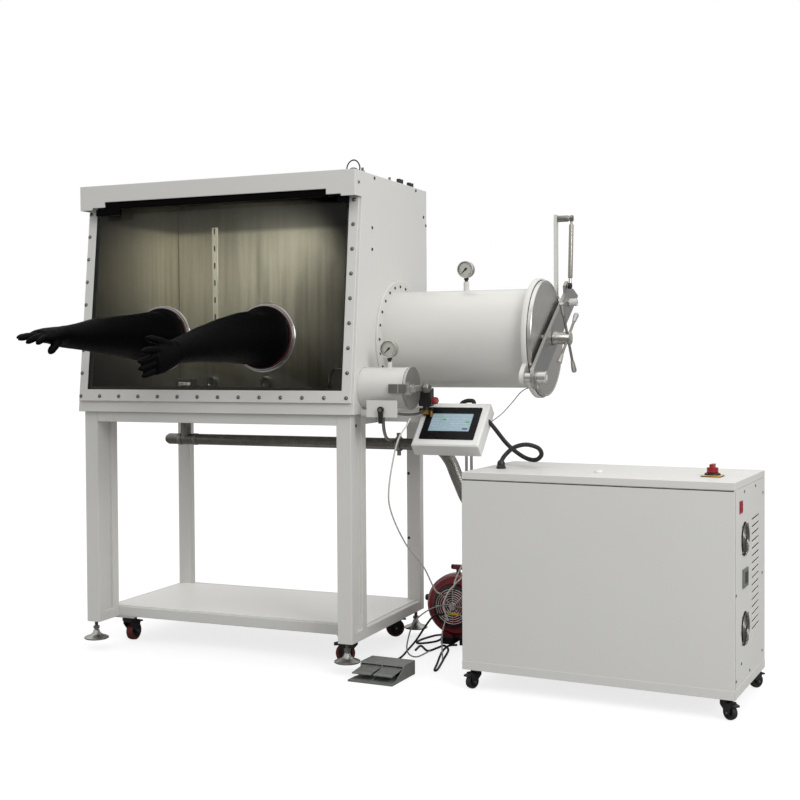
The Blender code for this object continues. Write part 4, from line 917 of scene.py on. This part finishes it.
def show_gas_spring():
    top, foot = Vector((0, 665, 1718)), Vector((0, 640, 1451))
    length, down = (foot - top).length, (foot - top).normalized()
    place = Matrix(((1, 0, 0, 1866), (0, down.z, down.y, top.y), (0, -down.y, down.z, top.z),
                    (0, 0, 0, 1)))
    body = turned([(4.4, 24), (8, 24), (9, 27), (9, length - 35), (8, length - 30),
                   (4.4, length - 30)])
    show("strut_tube", moved(body, place), STRUT, "gas_spring_tube", stands_for=["gas_spring_tube"])
    neck = merged(turned([(0, 12), (4, 12), (4.4, 26), (0, 26)]),
                  tube(7.15, 12.5, -6, 6, (0, 0, 0), "x"))
    show("strut_upper_eye", moved(neck, place), DULL_STEEL, "gas_spring_tube")
    lower = merged(turned([(0, 62), (4, 62), (4, length - 8), (0, length - 8)]),
                   rod(6.2, length - 26, length - 10, steps=48))
    show("strut_rod", moved(lower, place), BRIGHT, "gas_spring_rod", stands_for=["gas_spring_rod"])
    eye = tube(7.1, 12.5, -6, 5.8, (0, 0, length), "x")
    show("strut_lower_eye", moved(eye, place), DARK_METAL, "gas_spring_rod")


def show_small_chamber():
    dress("small_chamber", GLOSS_PAINT, 0.8)
    axis = (0, SMALL_Y, SMALL_Z)
    skin = turned([(75.5, 1220.2), (76.5, 1220.2), (76.5, 1391.6), (75.5, 1391.6)], axis, "x", 72)
    show("small_tube_skin", skin, GLOSS_PAINT)
    dress("small_door", SMALL_FACE, 0.6)
    dress("small_door_knob", DULL_STEEL, 0.8)
    rim = turned([(77.6, 1402), (79.4, 1402), (79.4, 1409.5), (78.4, 1411.4), (77, 1411.2)],
                 axis, "x", 72)
    show("small_door_rim", rim, STEEL, "small_door")
    gauge_face("small_gauge", 1319, SMALL_Y, 1205.3, BRIGHT)
    bar = merged(block((1350.6, 1388), (21.6, 30.6), (SMALL_Z - 16.6, SMALL_Z + 16.6)),
                 block((1389.4, 1423.4), (21.6, 30.6), (SMALL_Z - 16.6, SMALL_Z + 16.6)))
    show("small_hinge_cover", bar, DULL_STEEL, bevel=1.0)
    ears = [block((1423.6, 1438.6), (7.4, 31), (SMALL_Z + z, SMALL_Z + z + 9.2)) for z in (-22.6, 13.4)]
    show("small_hinge_ears", merged(*ears), BRIGHT, bevel=0.6)
    latch = block((1439, 1457), (8, 28), (SMALL_Z - 13, SMALL_Z + 8))
    show("small_latch_block", latch, BRIGHT, "small_door", bevel=1.5)


# ---------------------------------------------------------------- valve group
def show_valves():
    dress("valve_bracket", PAINT, 0.8)
    dress("valve_lever", BLACK, 1.0)
    show("valve_nut", rod(7, 1.2, 3.4, (1326, 0, 984), "y", 6), DULL_STEEL, "valve_lever")
    body = merged(rod(11, 20, 48, (1326, 0, 984), "y"), rod(8, 1302, 1350, (0, 36, 984), "x"),
                  rod(10, 1348, 1356, (0, 36, 984), "x", 6), rod(10, 1296, 1304, (0, 36, 984), "x", 6))
    show("bracket_valve", body, DULL_STEEL)
    elbow = cable([(1326, 36, 962), (1318, 50, 946), (1274, 160, 897), (1200, 360, 854),
                   (1146, 540, 836), (1140, 590, 832)], 6.5, 8, 14)
    show("valve_elbow", elbow, DULL_STEEL)
    link = cable([(1356, 36, 980), (1376, 60, 968), (1398, 140, 962), (1412, 200, 968),
                  (1416, 228, 980)], 5)
    show("valve_link", link, DULL_STEEL)
    turn = merged(rod(13, 962, 992, (1417, 230, 0)), rod(11, 955, 964, (1417, 230, 0), steps=6),
                  rod(8, 1392, 1446, (0, 228, 974), "x"))
    show("solenoid_block", turn, DARK_METAL, bevel=0.8)
    show("solenoid_coil", block((1392, 1442), (212, 250), (990, 1058)), BLACK, bevel=4)
    wheel = turned([(0, 0), (13, 0), (15, 3), (15, 10), (10, 14), (0, 15)], steps=8)
    show("red_valve_knob", moved(wheel, facing((0.2, -0.8, 0.55), (1459, 216, 1008))), RED_KNOB)
    show("red_knob_stem", rod(5, 1440, 1462, (0, 222, 1004), "x"), BRASS)
    brass = merged(rod(9, 1402, 1434, (0, 216, 968), "x", 6), rod(6, 944, 972, (1440, 224, 0)),
                   rod(9, 938, 946, (1440, 224, 0), steps=6))
    show("brass_body", brass, BRASS)


def corrugated(path, radius, depth, pitch, steps=20):
    """A ribbed hose: the path is cut into even steps and every rib swells and narrows."""
    points = curve_through(path, 24)
    length = [0.0]
    for a, b in zip(points, points[1:]):
        length.append(length[-1] + (b - a).length)
    count = int(length[-1] / pitch * 4)
    even, j = [], 0
    for i in range(count + 1):
        want = length[-1] * i / count
        while j < len(length) - 2 and length[j + 1] < want:
            j += 1
        t = (want - length[j]) / max(length[j + 1] - length[j], 1e-9)
        even.append(points[j].lerp(points[j + 1], t))
    return swept(even, lambda i: radius - depth * (0, 0.5, 1, 0.5)[i % 4], steps)


def show_pipes():
    dress("circulation_pipe", PIPE_FOIL, 1.0)
    for number, x in enumerate((98, 176)):
        band = turned([(24.2, -9), (26, -8), (26, 8), (24.2, 9)], (x, 600, 816), "x")
        show(f"pipe_band_{number}", band, DULL_STEEL)
    flange = turned([(22, 956), (43, 956), (43, 962.6), (22, 962.6)], (124, 600, 0))
    show("riser_flange", flange, STEEL, bevel=0.8)
    clamp = merged(turned([(24.2, -12), (29, -11), (30, -4), (30, 4), (29, 11), (24.2, 12)],
                          (1150, 600, 816), "x"),
                   block((1142, 1158), (592, 608), (843, 862)), block((1143, 1157), (594, 606), (768, 788)))
    show("pipe_clamp", clamp, DULL_STEEL, bevel=1.0)
    cabinet_x = CABINET.to_3x3() @ Vector((1, 0, 0))
    entry = CABINET @ Vector((0, 336, 566))
    path = [Vector((1262.5, 600, 816)), Vector((1276, 600, 816)), (1330, 586, 808),
            (1400, 528, 762), (1462, 455, 692), (1540, 375, 610), entry - 20 * cabinet_x,
            entry - 0.5 * cabinet_x]
    show("corrugated_hose", corrugated(path, 26, 4.0, 13.0), DULL_STEEL, stands_for=["return_hose"],
         angle=60)
    show("hose_collar", cable([entry - 26 * cabinet_x, entry - 0.6 * cabinet_x], 30), BLACK_CABLE)
    pair = [rod(5.5, 640, 900, (x, 300, 0)) for x in (1552, 1572)]
    show("vent_pipes", merged(*pair), STEEL)


# ---------------------------------------------------------------- screen
def show_screen():
    dress("screen_housing", LIGHT_COAT, 2.5, 3)
    bezel = prism(rounded(107, 79, 5), 0.2, 3.6, "z")
    show("screen_frame", moved(bezel, SCREEN), SCREEN_GLASS, bevel=0.6)
    face = block((-80, 80), (-40, 46), (3.7, 3.9))
    show("screen_face", moved(face, SCREEN), DISPLAY)
    rows = [block((-76 + 38 * i, -76 + 38 * i + 30), (y, y + 3), (4.0, 4.1))
            for y in (34, 20, 8, -4, -16) for i in range(4) if rng.random() < 0.8]
    show("screen_rows", moved(merged(*rows), SCREEN), DISPLAY_PALE)
    green = merged(block((-36, -22), (12, 20), (4.15, 4.3)), block((56, 72), (2, 9), (4.15, 4.3)))
    show("screen_green", moved(green, SCREEN), DISPLAY_GREEN)
    show("screen_button", moved(block((52, 72), (-32, -25), (4.15, 4.3)), SCREEN), DISPLAY_DARK)


def show_cables():
    """Wires and small tubes that hang between the box, the screen and the cabinet."""
    gland = CABINET @ Vector((80, 172, CABINET_TOP))
    conduit = corrugated([(1632, 246, 960), (1671, 257, 918), (1716, 278, 855), (1756, 282, 820),
                          (1800, 268, 799), (1842, 244, 797), (1869, 222, 818), (1862, 206, 843),
                          (1824, 190, 856), (1785, 176, 848), (1757, 166, 826),
                          gland + Vector((3, 0, 30)), gland + Vector((0, 0, 2))], 8.5, 0.9, 5.0, 14)
    show("screen_cable", conduit, BLACK_CABLE, angle=60)
    arch = cable([(1528, 262, 950), (1534, 294, 994), (1548, 300, 1006), (1566, 301, 1009),
                  (1584, 298, 1002), (1598, 264, 950)], 8, 8, 14)
    show("screen_arch_cable", arch, BLACK_CABLE)
    grey = cable([(1800, 430, 1040), (1770, 400, 1055), (1745, 375, 1040), (1722, 340, 1003),
                  (1694, 300, 962), (1664, 262, 932)], 2.0, 8)
    show("grey_wire", grey, GREY_CABLE)
    white = cable([(1400, 110, 950), (1393, 90, 922), (1363, 70, 857), (1309, 120, 687), (1285, 200, 582),
                   (1291, 330, 444), (1321, 430, 347), (1340, 510, 240), (1350, 556, 214)], 3.2, 10)
    show("white_hose", white, WHITE_TUBE)
    upper = cable([(1452, 545, 346), (1439, 545, 330), (1413, 548, 276), (1404, 556, 244)], 3)
    lower = cable([(1456, 545, 292), (1439, 545, 286), (1398, 545, 244), (1372, 545, 205),
                   (1364, 545, 161), (1380, 554, 112)], 3)
    show("pump_tubes", merged(upper, lower), WHITE_TUBE)
    near = cable([(1404, 590, 5), (1378, 560, 5), (1391, 451, 5), (1440, 270, 5), (1465, 178, 5),
                  (1471, 197, 5), (1435, 358, 5), (1402, 494, 5), (1361, 555, 6), (1348, 512, 5),
                  (1330, 453, 5), (1273, 522, 5), (1280, 447, 5)], 4.4, 8)
    far = cable([(1300, 720, 60), (1292, 740, 12), (1258, 715, 5), (1236, 640, 5), (1233, 580, 5),
                 (1250, 560, 5), (1285, 590, 5), (1306, 640, 5), (1300, 700, 12), (1305, 720, 80)], 4.4, 8)
    show("floor_wires", merged(near, far), BLACK_CABLE)
    thin = cable([(1339, 470, 5), (1326, 345, 5), (1268, 395, 6), (1262, 410, 50), (1288, 420, 125),
                  (1329, 500, 165), (1400, 546, 175), (1391, 500, 129), (1411, 400, 84),
                  (1440, 330, 5)], 2.8, 8)
    show("floor_wire_grey", thin, GREY_CABLE)
    pedal = PEDAL @ Vector((60, 196, 30))
    lead = cable([pedal, pedal + Vector((-4, 40, -10)), (1272, 313, 5), (1250, 440, 5),
                  (1258, 510, 30), (1314, 548, 120), (1360, 554, 134)], 4.2, 8)
    show("pedal_lead", lead, BLACK_CABLE)


# ---------------------------------------------------------------- cabinet
def show_cabinet():
    dress("cabinet_body", PAINT, 1.5, 2)
    dress("cabinet_lid", PAINT, 2.0, 3)
    wide, deep = CABINET_WIDE, CABINET_DEEP

    def side(y, z, x=wide):
        return CABINET @ facing((1, 0, 0), (x, y, z))

    skirt = merged(block((-0.8, wide + 0.8), (-0.8, 0.4), (CABINET_LOW, CABINET_LOW + 30)),
                   block((wide - 0.4, wide + 0.8), (-0.8, deep + 0.6), (CABINET_LOW, CABINET_LOW + 30)))
    show("cabinet_skirt", moved(skirt, CABINET), PAINT, bevel=0.4)
    seams = merged(block((wide + 0.1, wide + 0.4), (5, 6.4), (CABINET_LOW + 31, CABINET_BODY_TOP - 3)),
                   block((2, wide - 2), (-0.4, 0.3), (CABINET_BODY_TOP - 3.5, CABINET_BODY_TOP - 0.5)))
    show("cabinet_seam", moved(seams, CABINET), DARK_METAL)
    spots = ((144, 728), (324, 730), (450, 694), (437, 415), (437, 141), (18, 405), (18, 128),
             (96, 169), (229, 118))
    screw_heads("cabinet_screws", [side(y, z) for y, z in spots], 5.5, height=2.0)
    for name, z in zip(("lower", "upper"), FAN_Z):
        show_fan(name, z)
        dress(f"fan_{name}", BLACK, 0.4)
    inlet = block((wide + 0.2, wide + 5), (112, 190), (412, 474))
    show("inlet_frame", moved(inlet, CABINET), CAST, bevel=2)
    socket = merged(block((wide + 4.6, wide + 6), (136, 180), (424, 462)))
    show("inlet_face", moved(socket, CABINET), BLACK, bevel=0.6)
    dress("rocker_switch", RED_PLASTIC, 1.0)
    rim = moved(tube_frame(68, 104, 663, 703, 4, wide), CABINET)
    show("rocker_frame", rim, RED_PLASTIC, bevel=0.8)
    dress("power_switch", RED_PLASTIC, 1.2)
    plate = prism(rounded(32, 32, 6, (842, 181)), CABINET_TOP + 0.2, CABINET_TOP + 5, "z")
    show("isolator_plate", moved(plate, CABINET), YELLOW, bevel=0.8)
    edge = prism(rounded(34, 34, 7, (842, 181)), CABINET_TOP + 0.2, CABINET_TOP + 3, "z")
    show("isolator_edge", moved(edge, CABINET), BLACK)
    skirt_ring = turned([(20, 5), (27, 5), (26, 11), (20, 13)], (842, 181, CABINET_TOP))
    show("isolator_collar", moved(skirt_ring, CABINET), BLACK)
    cap = turned([(0, 0.2), (16, 0.2), (16, 4), (12, 9), (0, 10)], (450, 164, CABINET_TOP))
    show("lid_cap", moved(cap, CABINET), WHITE_TUBE)
    gland = turned([(8.6, 0.2), (17, 0.2), (17, 7), (14, 10), (14, 22), (9, 30), (8.6, 30)],
                   (80, 172, CABINET_TOP))
    show("lid_gland", moved(gland, CABINET), BLACK)


def tube_frame(y0, y1, z0, z1, wall, x):
    return merged(block((x + 0.2, x + 4), (y0, y1), (z0, z0 + wall)),
                  block((x + 0.2, x + 4), (y0, y1), (z1 - wall, z1)),
                  block((x + 0.2, x + 4), (y0, y0 + wall), (z0 + wall, z1 - wall)),
                  block((x + 0.2, x + 4), (y1 - wall, y1), (z0 + wall, z1 - wall)))


def show_fan(name, z):
    """Wire finger guard in front of a fan, on four spokes."""
    x = CABINET_WIDE
    rings = [hoop(radius, 1.1, x + 4, (0, FAN_Y, z), "x") for radius in range(12, 53, 8)]
    bar = rod(1.3, 8, 60, (x + 2.4, 0, 0), steps=8)
    spokes = copies(bar, around((0, FAN_Y, z), "X", (45, 135, 225, 315)))
    show(f"fan_guard_{name}", moved(merged(*rings, spokes), CABINET), DULL_STEEL)
    screws = [CABINET @ facing((1, 0, 0), (x, FAN_Y + u * 44, z + v * 44))
              for u in (-1, 1) for v in (-1, 1)]
    screw_heads(f"fan_screws_{name}", screws, 4.5)


# ---------------------------------------------------------------- floor pieces
def show_pump():
    x, z = 1395.0, 165.0
    dress("vacuum_pump", RED_ENAMEL, 3.0, 3)
    bell = turned([(0, 600), (78, 596), (90, 588.5), (112, 592), (125, 606), (127.4, 640),
                   (119, 687), (90, 690), (0, 690)], (x, 0, z), "y", 64)
    show("pump_bell", bell, RED_ENAMEL)
    cowl = turned([(0, 585), (80, 585), (84, 582), (84, 566), (80, 563), (74, 563), (74, 575),
                   (0, 575)], (x, 0, z), "y", 64)
    show("pump_cowl", cowl, BLACK)
    rings = [hoop(radius, 1.6, 563, (x, 0, z), "y", 48) for radius in range(16, 79, 9)]
    bars = copies(rod(1.7, 12, 80, (0, 565, 0), steps=8), around((x, 0, z), "Y", range(0, 360, 45)))
    show("pump_guard", merged(*rings, bars), BRIGHT)
    show("pump_hub", rod(15, 558, 566, (x, 0, z), "y"), BRIGHT, bevel=1)
    show("pump_strip", block((x - 20, x + 26), (560.5, 561.7), (z - 34, z - 24)), YELLOW)
    knob = turned([(0, 0), (10, 0), (13, 4), (13, 16), (10, 19), (0, 19)])
    show("pump_knob", moved(knob, facing((-1, 0, 0), (x - 126, 640, z + 16))), BLACK)
    valve = merged(rod(9, 286, 313, (x, 636, 0)), rod(8, x - 24, x + 24, (0, 636, 315), "x"),
                   rod(10, x - 29, x - 20, (0, 636, 315), "x"), rod(10, x + 20, x + 29, (0, 636, 315), "x"))
    show("pump_valve", valve, BLACK, bevel=0.8)
    feet = [block((x + a, x + b), (604, 766), (0.2, 30)) for a, b in ((-68, -14), (14, 68))]
    ribs = [block((x + a + 6 * i, x + a + 6 * i + 2.4), (600.5, 604), (4, 28))
            for a in (-66, 16) for i in range(9)]
    show("pump_feet", merged(*feet, *ribs), BLACK, bevel=1)
    fins = [block((x - 72, x + 72), (690 + 12 * i, 694 + 12 * i), (60, 226)) for i in range(7)]
    show("pump_fins", merged(*fins), RED_ENAMEL, bevel=0.6)
    plate = block((x - 72.5, x - 71), (700, 750), (120, 170))
    show("pump_plate", plate, STEEL, bevel=0.4)


def show_pedal():
    wide = 178.0
    dress("pedal_base", CAST, 1.2)
    for side in ("left", "right"):
        dress(f"pedal_{side}", CAST, 1.6, 3)
    plate = block((-1, wide + 1), (-1, 60), (0.2, 7))
    show("pedal_plate", moved(plate, PEDAL), CAST, bevel=1)
    ribs = [block((x0 + 10 * i, x0 + 10 * i + 4), (22, 100), (0, 1.1)) for x0 in (12, 98)
            for i in range(8)]
    for side, span in (("left", (0, 8)), ("right", (8, 16))):
        tilt = Matrix.Translation((0, 14, 31.4)) @ Matrix.Rotation(atan2(11, 106), 4, "X")
        show(f"pedal_{side}_ribs", moved(merged(*ribs[span[0]:span[1]]), PEDAL @ tilt), CAST,
             f"pedal_{side}", bevel=0.3)


# ---------------------------------------------------------------- stage and camera
def make_world():
    """White to the camera; a soft grey room with a bright ceiling to everything else."""
    world = bpy.data.worlds.new("studio")
    bpy.context.scene.world = world
    world.use_nodes = True
    tree = world.node_tree
    tree.nodes.clear()
    place = add(tree, "TexCoord")
    parts = add(tree, "SeparateXYZ", {"Vector": place.outputs["Generated"]})
    room = graded(tree, parts.outputs["Z"], -1.0, 1.0,
                  ((0, 0.6), (0.45, 0.35), (0.62, 0.5), (0.8, 0.95), (1, 1)))
    room_light = add(tree, "Background", {"Strength": ROOM_LIGHT, "Color": room})
    seen = add(tree, "Background", {"Color": grey(1)})
    path = add(tree, "LightPath")
    mixed_into(add(tree, "OutputWorld"), tree, path.outputs["Is Camera Ray"], room_light, seen)


def make_floor():
    """Pale floor that looks nearly white and takes only soft shadows."""
    mesh = bpy.data.meshes.new("floor")
    reach = 60.0
    mesh.from_pydata([(-reach, -reach, 0), (reach, -reach, 0), (reach, reach, 0), (-reach, reach, 0)],
                     [], [(0, 1, 2, 3)])
    floor = bpy.data.objects.new("floor", mesh)
    floor.location.z = -0.0005
    bpy.context.scene.collection.objects.link(floor)
    material, tree, shader = nodes_for("pale_floor")
    path = add(tree, "LightPath")
    glow = add(tree, "MapRange", {"To Min": FLOOR_BOUNCE, "To Max": FLOOR_WHITE,
                                  "Value": path.outputs["Is Camera Ray"]})
    fill(tree, shader, {"Base Color": grey(0.30), "Roughness": 0.8, "Specular IOR Level": 0.1,
                        "Emission Color": grey(1), "Emission Strength": glow.outputs["Result"]})
    bumped(tree, shader, noise_node(tree, 200), 0.05)
    mesh.materials.append(material)


def area_light(name, at, towards, size, power, mirrored=True):
    data = bpy.data.lights.new(name, "AREA")
    data.shape = "SQUARE"
    data.size = size
    data.energy = power
    light = bpy.data.objects.new(name, data)
    light.location = at
    light.rotation_euler = (Vector(towards) - Vector(at)).to_track_quat("-Z", "Y").to_euler()
    light.visible_glossy = mirrored
    bpy.context.scene.collection.objects.link(light)
    return light


def make_camera():
    data = bpy.data.cameras.new("camera")
    data.sensor_width = 36.0
    data.lens = 56.54
    data.shift_x, data.shift_y = -0.0068, -0.0213
    data.clip_end = 200
    camera = bpy.data.objects.new("camera", data)
    yaw, pitch, roll = 0.39163, -0.02288, -0.00593
    ahead = Vector((-sin(yaw) * cos(pitch), cos(yaw) * cos(pitch), sin(pitch)))
    level = Vector((cos(yaw), sin(yaw), 0))
    upright = level.cross(ahead)
    right = cos(roll) * level + sin(roll) * upright
    up = -sin(roll) * level + cos(roll) * upright
    turn = Matrix((right, up, -ahead)).transposed()
    camera.matrix_world = Matrix.Translation(TO_WORLD @ Vector((3153.7, -4179.3, 1186.1))) @ turn.to_4x4()
    bpy.context.scene.collection.objects.link(camera)
    bpy.context.scene.camera = camera


def make_stage():
    make_world()
    make_floor()
    area_light("key", (4.2, -2.6, 3.4), (0.0, 0.0, 1.0), 2.4, KEY_LIGHT)
    area_light("fill", (-1.5, -5.0, 2.6), (0.0, 0.0, 0.8), 3.0, FILL_LIGHT, mirrored=False)
    area_light("top", (0.4, 0.4, 4.2), (0.0, 0.0, 0.8), 3.0, TOP_LIGHT)
    lamp = TO_WORLD @ Vector((430, 260, 1846))
    target = TO_WORLD @ Vector((200, 740, 1480))
    area_light("inside_lamp", lamp, target, 0.35, INSIDE_LIGHT).data.spread = radians(115)
    make_camera()
    view = bpy.context.scene.view_settings
    view.view_transform = "Standard"
    view.look = "None"


for show_group in (show_stand, show_casters, show_box, show_hood, show_roof, show_inside, show_ports,
                   show_gloves, show_large_chamber, show_small_chamber, show_valves, show_pipes,
                   show_screen, show_cables, show_cabinet, show_pump, show_pedal, make_stage):
    show_group()
